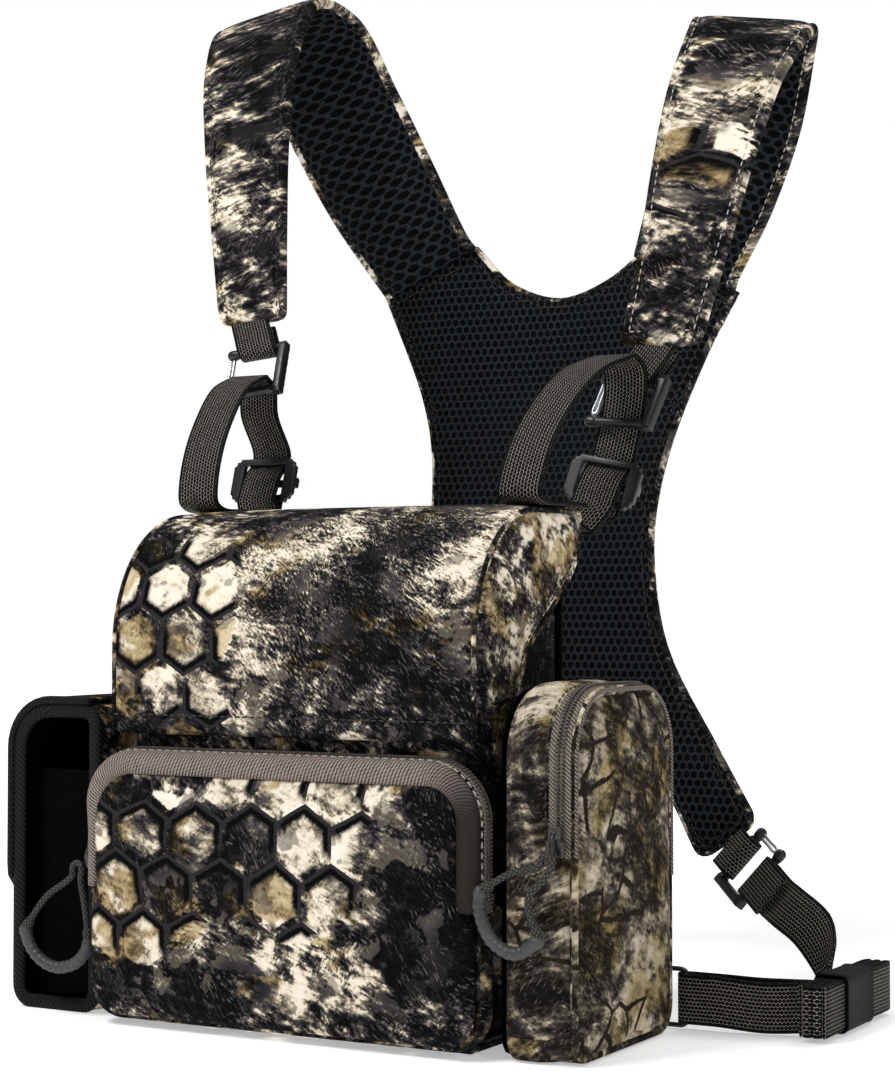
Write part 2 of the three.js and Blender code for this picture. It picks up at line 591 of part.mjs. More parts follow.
// The lower hook, the wing's webbing, and the strap from the hook down to the hank on the floor.
function lowerWebbing(side, name) {
  const half = WEBBING.width / 2;
  const down = vec(side * 0.66, -0.673, -0.336).normalize();
  const across = vec(side * 0.611, 0.22, 0.76).normalize();
  const bar = vec(side * 114.2, 145.9, 58.6);
  const low = bar.clone().addScaledVector(down, HOOK.span);
  const place = hookPlace(low, down.clone().negate(), across.clone().negate());
  hook(name + "_lower", place);
  const { x, y, z } = axes(place);
  const wide = x.clone().multiplyScalar(half);
  add(name + "_wing_webbing", "webbing", ribbon(roundBar(bar, HOOK.bar, y, z, wide, 7, 7), WEBBING.thick, 2));
  const strap = roundBar(low, HOOK.bar, down, z, wide.clone(), 26, 20).reverse();
  strap.pop();
  const flip = strap.map(({ at }) => ({ at, across: wide }));
  flip.push({ at: vec(side * 149.5, 110, 43), across: wide });
  flip.push({ at: vec(side * 164, 102, 35), across: vec(side * -6, -2.2, -7.4) });
  flip.push({ at: vec(side * 172.5, 96, 23), across: vec(side * -2.5, -1.5, -9.4) });
  flip.push({ at: vec(side * 175.5, 87, 13), across: vec(0, 0, -9.8) });
  add(name + "_upper_strap", "webbing", ribbon(flip, WEBBING.thick, 2));
}

// The strap that lies on the floor: it leaves the hank, goes round the ring's outer bar and returns.
// A tab sewn into the back panel's side seam holds the ring.
function lowerStrap(side, name) {
  const { y: ringY, low, high, bar, thick, inner, outer } = RING;
  const middle = (low + high) / 2;
  const half = WEBBING.width / 2;
  const upright = vec(0, 0, half);
  const frame = ringShape(inner, outer, low, high, [3, 3, 3, 3], bar);
  const ring = plateXZ(frame, ringY - thick / 2, ringY + thick / 2);
  if (side < 0) ring.applyMatrix4(new THREE.Matrix4().makeRotationZ(Math.PI)).translate(0, 2 * ringY, 0);
  add(name + "_corner_ring", "plastic", ring);
  const outerBar = vec(side * (outer - bar / 2), ringY, middle);
  const outward = vec(side, 0, 0);
  const turned = roundBar(outerBar, thick / 2 + 0.3, outward, vec(0, -1, 0), upright, 14, 14);
  const strapLow = HANK.low - 0.9 + half;
  const start = [
    { at: vec(side * 180.5, 55, strapLow + 1), across: upright },
    { at: vec(side * 162, 50.5, strapLow), across: upright },
  ];
  const end = [
    { at: vec(side * 160, 55, strapLow + 1), across: upright },
    { at: vec(side * 180.5, 60, strapLow + 1), across: upright },
  ];
  const band = ribbon([...start, ...turned, ...end], WEBBING.thick, 2);
  const h = HANK.thick / 2;
  const bundle = rounded(-h, h, -HANK.length / 2, HANK.length / 2, [h - 0.5, h - 0.5, h - 0.5, h - 0.5]);
  const hank = plateXY(bundle, HANK.low, HANK.high).translate(side * HANK.x, HANK.y, 0);
  add(name + "_lower_strap", "webbing", fuse([band, hank]));
  const k = KEEPER.wall + GAP;
  const sleeve = ringShape(-h - k, h + k, HANK.low - k, HANK.high + k, [1, 1, 1, 1], KEEPER.wall);
  add(name + "_keeper", "elastic", plateXZ(sleeve, KEEPER.near, KEEPER.far).translate(side * HANK.x, 0, 0));
  const innerBar = vec(side * (inner + bar / 2), ringY, middle);
  const tab = roundBar(innerBar, thick / 2 + 0.3, outward.clone().negate(), vec(0, -1, 0), upright, 12, 12);
  tab.pop();
  tab.pop();
  const seam = vec(side * (BACK.padHalfWidth + 1.2), BACK.padFront + 1.3, middle + 1);
  const bend = vec(side * 87, BACK.padFront + 6.6, middle);
  const sewn = [seam, bend].map((at) => ({ at, across: upright }));
  add(name + "_corner_tab", "webbing", ribbon([...sewn, ...tab], WEBBING.thick, 2));
}

mainPouch();
lid();
frontPocket();
rightPouch();
leftPouch();
attachStraps();
sliders();
yoke();
for (const [side, name] of [[-1, "left"], [1, "right"]]) {
  harnessPads(side, name);
  upperWebbing(side, name);
  lowerWebbing(side, name);
  lowerStrap(side, name);
}

export default group;
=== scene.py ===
import math

import bmesh
import bpy
import numpy as np
from mathutils import Matrix, Vector


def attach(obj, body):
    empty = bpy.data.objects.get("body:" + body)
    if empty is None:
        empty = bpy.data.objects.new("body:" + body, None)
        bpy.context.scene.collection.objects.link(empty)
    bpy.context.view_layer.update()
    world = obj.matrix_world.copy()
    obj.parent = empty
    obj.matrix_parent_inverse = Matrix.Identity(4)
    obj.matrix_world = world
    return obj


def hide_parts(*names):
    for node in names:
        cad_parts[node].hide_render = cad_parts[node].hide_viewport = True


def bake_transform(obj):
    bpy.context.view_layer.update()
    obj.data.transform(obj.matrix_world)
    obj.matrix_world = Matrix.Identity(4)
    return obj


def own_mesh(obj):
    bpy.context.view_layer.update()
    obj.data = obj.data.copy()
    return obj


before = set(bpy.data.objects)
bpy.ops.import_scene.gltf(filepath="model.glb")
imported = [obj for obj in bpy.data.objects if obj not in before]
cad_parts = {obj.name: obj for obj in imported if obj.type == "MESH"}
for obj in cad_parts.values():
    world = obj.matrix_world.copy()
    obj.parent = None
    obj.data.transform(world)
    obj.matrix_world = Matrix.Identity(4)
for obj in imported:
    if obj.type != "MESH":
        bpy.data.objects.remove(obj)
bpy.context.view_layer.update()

MM = 0.001
WHITE = (1, 1, 1, 1)


# Camera, floor and light

CAMERA_AT = (0.4993, -0.8129, 0.1682)
CAMERA_AZIMUTH, CAMERA_PITCH = math.radians(29.05), math.radians(1.68)
LENS, SENSOR = 77.4, 36


def place_camera():
    data = bpy.data.cameras.new("camera")
    data.lens = LENS
    data.sensor_width = SENSOR
    camera = bpy.data.objects.new("camera", data)
    level = math.cos(CAMERA_PITCH)
    ahead, aside = math.cos(CAMERA_AZIMUTH) * level, math.sin(CAMERA_AZIMUTH) * level
    look = Vector((-aside, ahead, math.sin(CAMERA_PITCH)))
    camera.location = CAMERA_AT
    camera.rotation_euler = look.to_track_quat("-Z", "Y").to_euler()
    bpy.context.collection.objects.link(camera)
    bpy.context.scene.camera = camera


def area_light(name, at, aim, size, power):
    data = bpy.data.lights.new(name, "AREA")
    data.size = size
    data.energy = power
    light = bpy.data.objects.new(name, data)
    light.location = at
    light.rotation_euler = (Vector(aim) - Vector(at)).to_track_quat("-Z", "Y").to_euler()
    bpy.context.collection.objects.link(light)


def place_lights():
    middle = (0, 0.05, 0.2)
    area_light("key", (-0.55, -0.95, 1.65), middle, 0.6, 22)
    area_light("side", (1.5, -0.7, 0.8), middle, 0.9, 4)
    area_light("rear", (0.2, 0.9, 1.9), middle, 1.2, 14)
    world = bpy.data.worlds.new("world")
    bpy.context.scene.world = world
    world.use_nodes = True
    t = Tree(world.node_tree)
    soft = world.node_tree.nodes["Background"]
    soft.inputs["Color"].default_value = WHITE
    soft.inputs["Strength"].default_value = 0.26
    # The backdrop is white, and lights the object no more than a grey studio wall does.
    wall = t.add("ShaderNodeBackground", {"Color": WHITE, "Strength": 1.0})
    seen = t.add("ShaderNodeLightPath").outputs["Is Camera Ray"]
    both = t.add("ShaderNodeMixShader", {0: seen, 1: soft.outputs[0], 2: wall.outputs[0]})
    t.link(both.outputs[0], world.node_tree.nodes["World Output"].inputs["Surface"])
    bpy.context.scene.view_settings.view_transform = "Standard"


# Node trees

class Tree:
    """Adds nodes to a tree; an input takes a value, a colour's hex code or another node's output."""

    def __init__(self, tree):
        self.tree = tree

    def add(self, kind, inputs=(), **settings):
        node = self.tree.nodes.new(kind)
        for key, value in settings.items():
            setattr(node, key, value)
        for key, value in dict(inputs).items():
            if isinstance(value, bpy.types.NodeSocket):
                self.tree.links.new(value, node.inputs[key])
            elif value is not None:
                node.inputs[key].default_value = rgb(value) if isinstance(value, str) else value
        return node

    def use(self, group_name, inputs):
        node = self.add("ShaderNodeGroup", node_tree=bpy.data.node_groups[group_name])
        for key, value in inputs.items():
            if isinstance(value, bpy.types.NodeSocket):
                self.tree.links.new(value, node.inputs[key])
            else:
                node.inputs[key].default_value = value
        return node

    def math(self, operation, a, b=None, c=None):
        return self.add("ShaderNodeMath", {0: a, 1: b, 2: c}, operation=operation).outputs[0]

    def plus(self, a, b):
        return self.math("ADD", a, b)

    def minus(self, a, b):
        return self.math("SUBTRACT", a, b)

    def times(self, a, b, more=None):
        """a times b, plus more where it is given."""
        return self.math("MULTIPLY" if more is None else "MULTIPLY_ADD", a, b, more)

    def link(self, output, socket):
        self.tree.links.new(output, socket)

    def vector(self, operation, a, b=None, c=None, scale=None):
        inputs = {0: a, 1: b, 2: c, 3: scale}
        node = self.add("ShaderNodeVectorMath", inputs, operation=operation)
        return node.outputs["Value" if operation in ("LENGTH", "DOT_PRODUCT", "DISTANCE") else "Vector"]

    def noise(self, at, size, detail=2.0, roughness=0.5, colour=False):
        """Noise with patches of about `size` millimetres."""
        inputs = {"Vector": at, "Scale": 1 / size, "Detail": detail, "Roughness": roughness}
        return self.add("ShaderNodeTexNoise", inputs).outputs["Color" if colour else "Fac"]

    def step(self, value, low, high, out_low=0.0, out_high=1.0):
        inputs = {"Value": value, "From Min": low, "From Max": high, "To Min": out_low, "To Max": out_high}
        return self.add("ShaderNodeMapRange", inputs, interpolation_type="SMOOTHSTEP").outputs[0]

    def mix(self, factor, a, b):
        return self.add("ShaderNodeMix", {0: factor, 6: a, 7: b}, data_type="RGBA").outputs[2]

    def ramp(self, factor, stops):
        node = self.add("ShaderNodeValToRGB", {0: factor})
        elements = node.color_ramp.elements
        while len(elements) < len(stops):
            elements.new(0.5)
        for element, (place, colour) in zip(elements, stops):
            element.position = place
            element.color = rgb(colour)
        return node.outputs[0]

    def turned(self, at, degrees, wide, tall):
        """Coordinates turned in the plane and stretched to `wide` by `tall` millimetres."""
        inputs = {"Vector": at, "Rotation": (0, 0, math.radians(degrees))}
        flat = self.add("ShaderNodeMapping", inputs).outputs[0]
        return self.vector("MULTIPLY", flat, (1 / wide, 1 / tall, 0))

    def wave(self, value, pitch):
        """A wave from 0 to 1 every `pitch`."""
        turned = self.times(value, math.tau / pitch)
        return self.times(self.math("COSINE", turned), 0.5, 0.5)


def rgb(code):
    """A linear colour from its sRGB hex code."""
    values = [int(code[i:i + 2], 16) / 255 for i in (0, 2, 4)]
    return tuple(v / 12.92 if v <= 0.04045 else ((v + 0.055) / 1.055) ** 2.4 for v in values) + (1,)


def group(name, inputs, outputs):
    tree = bpy.data.node_groups.new(name, "ShaderNodeTree")
    for side, sockets in (("INPUT", inputs), ("OUTPUT", outputs)):
        for socket, kind in sockets.items():
            tree.interface.new_socket(socket, in_out=side, socket_type="NodeSocket" + kind)
    source = tree.nodes.new("NodeGroupInput")
    return Tree(tree), source.outputs, tree.nodes.new("NodeGroupOutput")


def make_hexes():
    """Hexagonal cells of width 1: the distance to the nearest edge, the middle, and the way from it."""
    outputs = {"Edge": "Float", "Middle": "Vector", "Local": "Vector"}
    t, source, sink = group("Hexes", {"Point": "Vector"}, outputs)
    half, low = (0.5, math.sqrt(3) / 2, 0.5), (-0.5, -math.sqrt(3) / 2, -0.5)
    point = t.vector("MULTIPLY", source["Point"], (1, 1, 0))
    shifted = t.vector("SUBTRACT", point, (0.5, half[1], 0))
    a = t.vector("WRAP", point, half, low)
    b = t.vector("WRAP", shifted, half, low)
    second = t.math("GREATER_THAN", t.vector("LENGTH", a), t.vector("LENGTH", b))
    local = t.vector("ADD", a, t.vector("SCALE", t.vector("SUBTRACT", b, a), scale=second))
    folded = t.vector("ABSOLUTE", local)
    slanted = t.vector("DOT_PRODUCT", folded, (0.5, half[1], 0))
    upright = t.vector("DOT_PRODUCT", folded, (1, 0, 0))
    edge = t.minus(0.5, t.math("MAXIMUM", slanted, upright))
    for socket, value in (("Edge", edge), ("Middle", t.vector("SUBTRACT", point, local)), ("Local", local)):
        t.link(value, sink.inputs[socket])
    return t.tree


def make_print():
    """The camo print: brushed patches from near black to ivory, with shaded hexagon outlines over them."""
    inputs = {"Point": "Vector"}
    inputs.update((name, "Float") for name in ("Light", "Tan", "Hex", "Cell", "Fade", "Stones", "Fine"))
    t, source, sink = group("Camo print", inputs, {"Colour": "Color"})
    point = source["Point"]
    push = t.vector("SUBTRACT", t.noise(point, 40, 1, colour=True), (0.5, 0.5, 0.5))
    bent = t.vector("MULTIPLY_ADD", push, (12, 12, 0), point)

    width = t.add("ShaderNodeCombineXYZ", {0: source["Cell"], 1: source["Cell"], 2: 1.0}).outputs[0]
    cells = t.vector("DIVIDE", t.vector("MULTIPLY_ADD", push, (5, 5, 0), point), width)
    edge, middle, local = t.use("Hexes", {"Point": cells}).outputs
    picked = t.noise(t.vector("SCALE", middle, scale=9.1), 5, 1, colour=True)
    picked = t.vector("SUBTRACT", picked, (0.5, 0.5, 0.5))
    pick = t.add("ShaderNodeSeparateXYZ", {0: picked}).outputs

    brushes = ((34, 3.0, 1.0, 0), (-52, 2.7, 0.9, 40), (20, 7, 2.4, 90), (62, 5.0, 0.6, 130))
    strokes = []
    for angle, wide, tall, shift in brushes:
        at = t.turned(t.vector("ADD", bent, (shift, shift, 0)), angle, wide, tall)
        strokes.append(t.minus(t.noise(at, 1, 2, 0.5), 0.5))
    share = t.step(t.noise(point, 24, 1), 0.42, 0.58)
    other = t.minus(1, share)
    # Dry-brushed areas carry the fine strokes; between them the cloth is smooth.
    busy = t.step(t.noise(t.vector("ADD", bent, (50, 500, 0)), 15, 2), 0.44, 0.58, 0.12, 1.0)

    def shared(a, b):
        return t.plus(t.times(a, share), t.times(b, other))

    worn = t.times(strokes[2], 0.35, t.times(pick[0], 0.6, source["Hex"]))
    worn = t.step(worn, 0.42, 0.52)
    rough = t.times(strokes[1], 0.07)
    rim = t.plus(edge, rough)
    sided = t.step(t.vector("DOT_PRODUCT", local, (0.35, 0.94, 0)), -0.14, 0.06)
    sided = t.times(worn, sided)
    dark = t.times(t.step(rim, 0.13, 0.22, 1.0, 0.0), sided)
    line = t.times(t.step(rim, 0.05, 0.075, 1.0, 0.0), sided)
    fill = t.times(t.step(edge, 0.08, 0.14), worn)

    broad = t.noise(bent, 46, 2, 0.5)
    patches = t.noise(bent, 11, 5, 0.66)
    coarse = t.times(source["Fine"], -0.8, 1.15)
    tone = t.times(t.minus(patches, 0.5), coarse)
    tone = t.plus(t.times(broad, 0.75, tone), source["Light"])
    tone = t.plus(tone, 0.1)
    cell_tone = t.times(pick[1], 1.1, 0.05)
    tone = t.times(cell_tone, fill, tone)
    brushed = shared(strokes[0], strokes[1])
    brushed = t.times(t.times(brushed, 0.44), busy)
    brushed = t.times(strokes[2], 0.42, brushed)
    tone = t.plus(tone, brushed)
    level = t.minus(t.plus(cell_tone, 0.57), tone)
    tone = t.times(t.times(level, fill), 0.42, tone)
    grains = t.minus(t.noise(point, 1.2, 2, 0.7), 0.5)
    tone = t.times(grains, 0.1, tone)
    specks = t.minus(t.noise(t.turned(bent, 48, 2.6, 0.8), 1, 3, 0.75), 0.5)
    tone = t.times(t.times(specks, source["Fine"]), 0.75, tone)

    colour = t.ramp(tone, (
        (0.36, "0b0a0d"), (0.45, "19171b"), (0.50, "363336"), (0.545, "5c5751"),
        (0.585, "968b78"), (0.62, "d3c7b0"), (0.67, "efe3ce"), (0.8, "f9eee0")))
    khaki = t.ramp(tone, (
        (0.36, "0d0c0a"), (0.45, "1e1b15"), (0.50, "3d3526"), (0.55, "6b5b40"),
        (0.60, "8d7a58"), (0.67, "b5a17a"), (0.8, "d6c6a2")))
    tinted = t.plus(t.noise(t.vector("ADD", bent, (700, 300, 0)), 28, 3, 0.6), source["Tan"])
    tinted = t.times(t.times(pick[2], fill), 0.8, tinted)
    tan = t.step(tinted, 0.54, 0.6)
    colour = t.mix(tan, colour, khaki)
    plain = t.step(t.noise(t.vector("ADD", bent, (900, 80, 0)), 18, 3, 0.6), 0.56, 0.585)
    flat = t.ramp(broad, ((0.44, "272427"), (0.5, "464246"), (0.56, "6b6458")))
    colour = t.mix(t.times(plain, 0.6), colour, flat)
    # The faded print of the side pouches: olive and warm grey, with stone-like cells outlined in brown.
    grey = t.ramp(tone, (
        (0.36, "1b1816"), (0.46, "37322c"), (0.53, "5a5247"), (0.6, "7d7463"), (0.68, "a1967f"),
        (0.8, "c3b8a3")))
    olive = t.ramp(tone, (
        (0.36, "1d1912"), (0.46, "3a3222"), (0.54, "5d5137"), (0.64, "84744f"), (0.8, "ab9b74")))
    colour = t.mix(source["Fade"], colour, t.mix(t.step(tinted, 0.48, 0.56), grey, olive))
    at = t.vector("MULTIPLY_ADD", push, (30, 30, 0), point)
    stones = t.add("ShaderNodeTexVoronoi", {"Vector": at, "Scale": 1 / 17, "Randomness": 0.85},
                   feature="DISTANCE_TO_EDGE", voronoi_dimensions="2D").outputs["Distance"]
    veins = t.step(t.times(strokes[1], 0.09, stones), 0.05, 0.08, 1.0, 0.0)
    veins = t.times(veins, t.step(t.noise(point, 30, 1), 0.46, 0.52))
    colour = t.mix(t.times(veins, source["Stones"]), colour, "27201b")
    # Fine scratches: grey over the dark, black over the light.
    pale = t.step(shared(strokes[3], strokes[0]), 0.07, 0.13)
    pale = t.times(t.times(pale, busy), t.step(tone, 0.5, 0.56, 0.6, 0.0))
    colour = t.mix(pale, colour, "7d786e")
    black = t.step(shared(strokes[1], strokes[3]), 0.06, 0.12)
    black = t.times(t.times(black, busy), t.step(tone, 0.6, 0.72, 0.85, 0.0))
    colour = t.mix(black, colour, "1f1c1c")
    colour = t.mix(dark, colour, "09080a")
    colour = t.mix(line, colour, "2d2b2d")
    t.link(colour, sink.inputs["Colour"])
    return t.tree


def new_material(name):
    material = bpy.data.materials.new(name)
    material.use_nodes = True
    t = Tree(material.node_tree)
    shader = material.node_tree.nodes["Principled BSDF"]
    return material, t, shader


def wire(t, shader, colour, roughness, height=None, depth=0.2, specular=0.3, metallic=0.0):
    """Links a colour, a roughness and a relief `depth` millimetres deep to the shader."""
    for socket, value in (("Base Color", colour), ("Roughness", roughness)):
        if isinstance(value, bpy.types.NodeSocket):
            t.link(value, shader.inputs[socket])
        else:
            shader.inputs[socket].default_value = value
    shader.inputs["Specular IOR Level"].default_value = specular
    shader.inputs["Metallic"].default_value = metallic
    if height is not None:
        bump = t.add("ShaderNodeBump", {"Height": height, "Distance": depth * MM, "Strength": 1.0})
        t.link(bump.outputs[0], shader.inputs["Normal"])


def cloth_point(t):
    return t.add("ShaderNodeUVMap", uv_map="Cloth").outputs[0]


def solid_point(t):
    """Object coordinates in millimetres, for pieces without a cloth map."""
    return t.vector("SCALE", t.add("ShaderNodeTexCoord").outputs["Object"], scale=1000)


def camo(name, shift, lights=(), hexes=(), tans=(), fine=(), cell=25.0, tan=0.0, light=0.0, fade=0.0,
         stones=0.0, way=1):
    """Camo fabric. lights, hexes, tans and fine are spots of (x, y, radius, strength) on the cloth map.

    way is -1 for a piece whose print is upside down."""
    material, t, shader = new_material(name)
    point = cloth_point(t)

    def spots(places, start):
        total = start
        for x, y, radius, strength in places:
            away = t.vector("DISTANCE", point, (x, y, 0))
            total = t.plus(total, t.step(away, 0.25 * radius, radius, strength, 0.0))
        return total

    printed = t.use("Camo print", {
        "Point": t.vector("MULTIPLY_ADD", point, (way, way, 0), (*shift, 0)),
        "Light": spots(lights, light), "Tan": spots(tans, tan), "Hex": spots(hexes, 0.0),
        "Fine": spots(fine, 0.0), "Cell": cell, "Fade": fade, "Stones": stones})
    nap = t.noise(t.turned(point, 20, 0.9, 0.35), 1, 2, 0.6)
    wire(t, shader, printed.outputs[0], 0.92, nap, 0.12, 0.05)
    return material


def twill(name, light, dark, pitch, painted_shade_span=None):
    """Slanted ribs. The last argument gives the heights on the cloth map between which painted shade turns
    the cloth dark.
    """
    material, t, shader = new_material(name)
    point = cloth_point(t)
    slanted = t.vector("DOT_PRODUCT", point, (0.62, 0.78, 0))
    yarn = t.vector("DOT_PRODUCT", point, (0.78, -0.62, 0))
    wale = t.wave(t.times(t.wave(yarn, 1.3), 0.22, slanted), pitch)
    worn = t.times(t.noise(point, 3, 3), 0.35, t.times(wale, 0.75))
    colour = t.ramp(worn, ((0.12, dark), (0.85, light)))
    if painted_shade_span:
        along = t.add("ShaderNodeSeparateXYZ", {0: point}).outputs[1]
        # Painted shade: below the first height the cloth is painted in its dark colour, fading out by the
        # second.
        colour = t.mix(t.step(along, *painted_shade_span, 0.97, 0.0), colour, dark)
    wire(t, shader, colour, 0.6, wale, 0.3, 0.12)
    return material


def webbing(name, light, dark, half=10.0, pitch=1.6, column=1.5):
    """Plain weave: rows of short light picks over a near-black ground, every other column half a row on."""
    material, t, shader = new_material(name)
    wander = t.noise(cloth_point(t), 5, 2, colour=True)
    point = t.vector("MULTIPLY_ADD", wander, (0.35, 0.35, 0), cloth_point(t))
    split = t.add("ShaderNodeSeparateXYZ", {0: point}).outputs
    across, along = t.wave(split[0], column), split[1]
    odd = t.step(t.wave(split[0], 2 * column), 0.45, 0.55)
    row = t.wave(t.times(odd, pitch / 2, along), pitch)
    away = t.math("ABSOLUTE", t.minus(split[0], 0.17))
    edge = t.step(away, half - 1.7, half - 1.2)
    picks = t.times(row, t.times(across, -0.75, 1.0))
    relief = t.times(picks, t.times(edge, -0.5, 1.0))
    shade = t.times(t.noise(point, 2.2, 3), 0.45, relief)
    colour = t.ramp(shade, ((0.32, "030303"), (0.62, dark), (1.0, light)))
    wire(t, shader, colour, 0.6, relief, 0.5, 0.1)
    return material


def spacer_mesh(name, pitch):
    material, t, shader = new_material(name)
    point = cloth_point(t)
    cells = t.use("Hexes", {"Point": t.vector("MULTIPLY", point, (1 / pitch, 0.86 / pitch, 0))})
    edge = t.times(t.minus(t.noise(point, 1.3, 2), 0.5), 0.07, cells.outputs["Edge"])
    shaded_hole = t.step(edge, 0.11, 0.19)
    yarn = t.noise(t.turned(point, 45, 0.9, 0.3), 1, 2)
    ridge = t.times(t.minus(1, shaded_hole), t.times(yarn, 0.3, 0.7))
    strand = t.ramp(yarn, ((0.32, "07090b"), (0.7, "333a40")))
    # Painted shade: the holes are painted near-black, for the shaded hollow seen through the mesh.
    colour = t.mix(shaded_hole, strand, "010101")
    wire(t, shader, colour, 0.7, ridge, 0.9, 0.07)
    return material


def knit(name, light, dark, pitch):
    """A plain fabric with fine ribs: lining or elastic."""
    material, t, shader = new_material(name)
    point = cloth_point(t)
    split = t.add("ShaderNodeSeparateXYZ", {0: point}).outputs
    weave = t.times(t.wave(split[0], pitch), t.wave(split[1], pitch * 0.8))
    shade = t.times(t.noise(point, 9, 3), 0.6, t.times(weave, 0.4))
    colour = t.ramp(shade, ((0.2, dark), (0.8, light)))
    wire(t, shader, colour, 0.8, weave, 0.12, 0.03)
    return material


def braid(name, light, dark, pitch):
    material, t, shader = new_material(name)
    point = cloth_point(t)
    one = t.wave(t.vector("DOT_PRODUCT", point, (0.9, 0.7, 0)), pitch)
    two = t.wave(t.vector("DOT_PRODUCT", point, (0.9, -0.7, 0)), pitch)
    crossing = t.times(one, two)
    shade = t.times(t.noise(point, 1.2, 2), 0.4, t.times(crossing, 0.7))
    wire(t, shader, t.ramp(shade, ((0.15, dark), (0.8, light))), 0.75, crossing, 0.25, 0.3)
    return material


def moulded(name, light, dark, roughness, metallic=0.0, grain=0.03):
    """Moulded plastic, rubber, board or metal: fine grain, a slow change of tone, worn patches."""
    material, t, shader = new_material(name)
    point = solid_point(t)
    slow = t.noise(point, 14, 3)
    fine = t.noise(point, 0.9, 3, 0.6)
    shade = t.times(fine, 0.35, t.times(slow, 0.65))
    colour = t.ramp(shade, ((0.3, dark), (0.7, light)))
    gloss = t.step(slow, 0.3, 0.7, roughness - 0.06, roughness + 0.08)
    wire(t, shader, colour, gloss, fine, grain, 0.5, metallic)
    return material


def thread(name, light, dark):
    material, t, shader = new_material(name)
    point = solid_point(t)
    shade = t.noise(point, 0.5, 2)
    wire(t, shader, t.ramp(shade, ((0.3, dark), (0.7, light))), 0.6, shade, 0.08, 0.4)
    return material


def make_materials():
    make_hexes()
    make_print()
    return {
        "camo_lid": camo(
            "camo_lid", (140, 60), cell=25, tan=-0.02, way=-1,
            lights=((-60, 60, 80, 0.07), (10, 60, 70, 0.0), (60, 20, 50, -0.03)),
            hexes=((-62, 52, 56, 1.1), (-40, 2, 30, 0.8), (-30, 125, 40, 0.7)),
            tans=((-60, 60, 60, 0.06),), fine=((22, 60, 95, 1.0), (60, 110, 60, 0.4))),
        "camo_wing": camo("camo_wing", (410, 200), tan=0.05, light=0.08),
        "camo_front": camo(
            "camo_front", (620, 30), cell=25, tan=-0.03, light=-0.01,
            lights=((22, 82, 36, 0.17), (-66, 92, 34, 0.03), (20, 18, 40, 0.1), (66, 60, 46, -0.11),
                    (-44, 22, 40, -0.12)),
            hexes=((6, 80, 62, 1.1), (-66, 62, 56, 1.0)), tans=((-68, 58, 56, 0.12), (-8, 56, 22, 0.1)),
            fine=((76, 62, 44, 0.8), (-30, 20, 34, 0.6))),
        "camo_right": camo("camo_right", (890, 340), lights=((20, 20, 50, 0.06),), cell=17, tan=0.01,
                           light=0.04, fade=0.85, stones=1.0),
        "camo_gusset": camo("camo_gusset", (215, 560), lights=((-18, 288, 26, 0.26),), cell=20, tan=-0.03,
                            light=0.01, fade=0.6, stones=1.0),
        "camo_body": camo("camo_body", (330, 480), tan=0.03, light=-0.02),
        "camo_strap": camo("camo_strap", (60, 780), lights=((0, -50, 110, 0.05),),
                           hexes=((0, 80, 40, 0.6),), cell=24, tan=-0.03, light=0.03),
        "camo_flap": camo("camo_flap", (720, 610), tan=0.09),
        # Painted shade on the cover's low right end, which faces front: dark up to 34 mm along its length,
        # fading out by 74 mm.
        "cover": twill("twill_cover", "a3958e", "241f1d", 1.2, (34, 74)),
        "binding": twill("twill_binding", "221d1f", "030303", 1.8),
        "tape": twill("twill_tape", "948a7f", "1a1614", 1.2),
        "webbing": webbing("webbing", "a49d93", "0b0a0a"),
        "keeper": webbing("keeper_band", "5c5750", "0c0b0a", 15.0, 1.3, 1.2),
        "mesh": spacer_mesh("spacer_mesh", 3.7),
        "lining": knit("lining", "060607", "020202", 0.9),
        "elastic": knit("elastic", "0a0a0b", "030303", 1.3),
        "plastic": moulded("plastic", "151619", "070708", 0.36),
        "board": moulded("board", "26282b", "17181a", 0.6, grain=0.05),
        "grip": moulded("grip", "4a4a49", "2c2c2c", 0.5, grain=0.06),
        "steel": moulded("steel", "e4e5e8", "a9abaf", 0.34, 1.0, 0.01),
        "gunmetal": moulded("gunmetal", "5a5754", "2c2a29", 0.34, 0.85, 0.02),
        "teeth": moulded("zip_teeth", "6b625c", "342f2c", 0.45),
        "cord": braid("cord", "5a5954", "111110", 1.6),
        "thread": thread("thread", "d8d2c6", "98928a"),
        "dark_thread": thread("dark_thread", "3b3836", "1a1817"),
    }


def place_floor():
    mesh = bpy.data.meshes.new("floor")
    side, low = 6.0, -0.0002
    corners = [(x * side, y * side, low) for x, y in ((-1, -1), (1, -1), (1, 1), (-1, 1))]
    mesh.from_pydata(corners, [], [(0, 1, 2, 3)])
    material, t, shader = new_material("floor")
    shade = t.ramp(t.noise(solid_point(t), 400, 2), ((0.3, "f7f7f8"), (0.7, "fafafa")))
    wire(t, shader, shade, 0.8, specular=0.0)
    shader.inputs["Emission Color"].default_value = WHITE
    # It glows more away from the object, so that it meets the backdrop without a line.
    flat = t.vector("MULTIPLY", t.add("ShaderNodeTexCoord").outputs["Object"], (1, 1, 0))
    t.link(t.step(t.vector("LENGTH", flat), 0.3, 1.1, 0.4, 0.85), shader.inputs["Emission Strength"])
    mesh.materials.append(material)
    floor = bpy.data.objects.new("floor", mesh)
    bpy.context.collection.objects.link(floor)


# Meshes

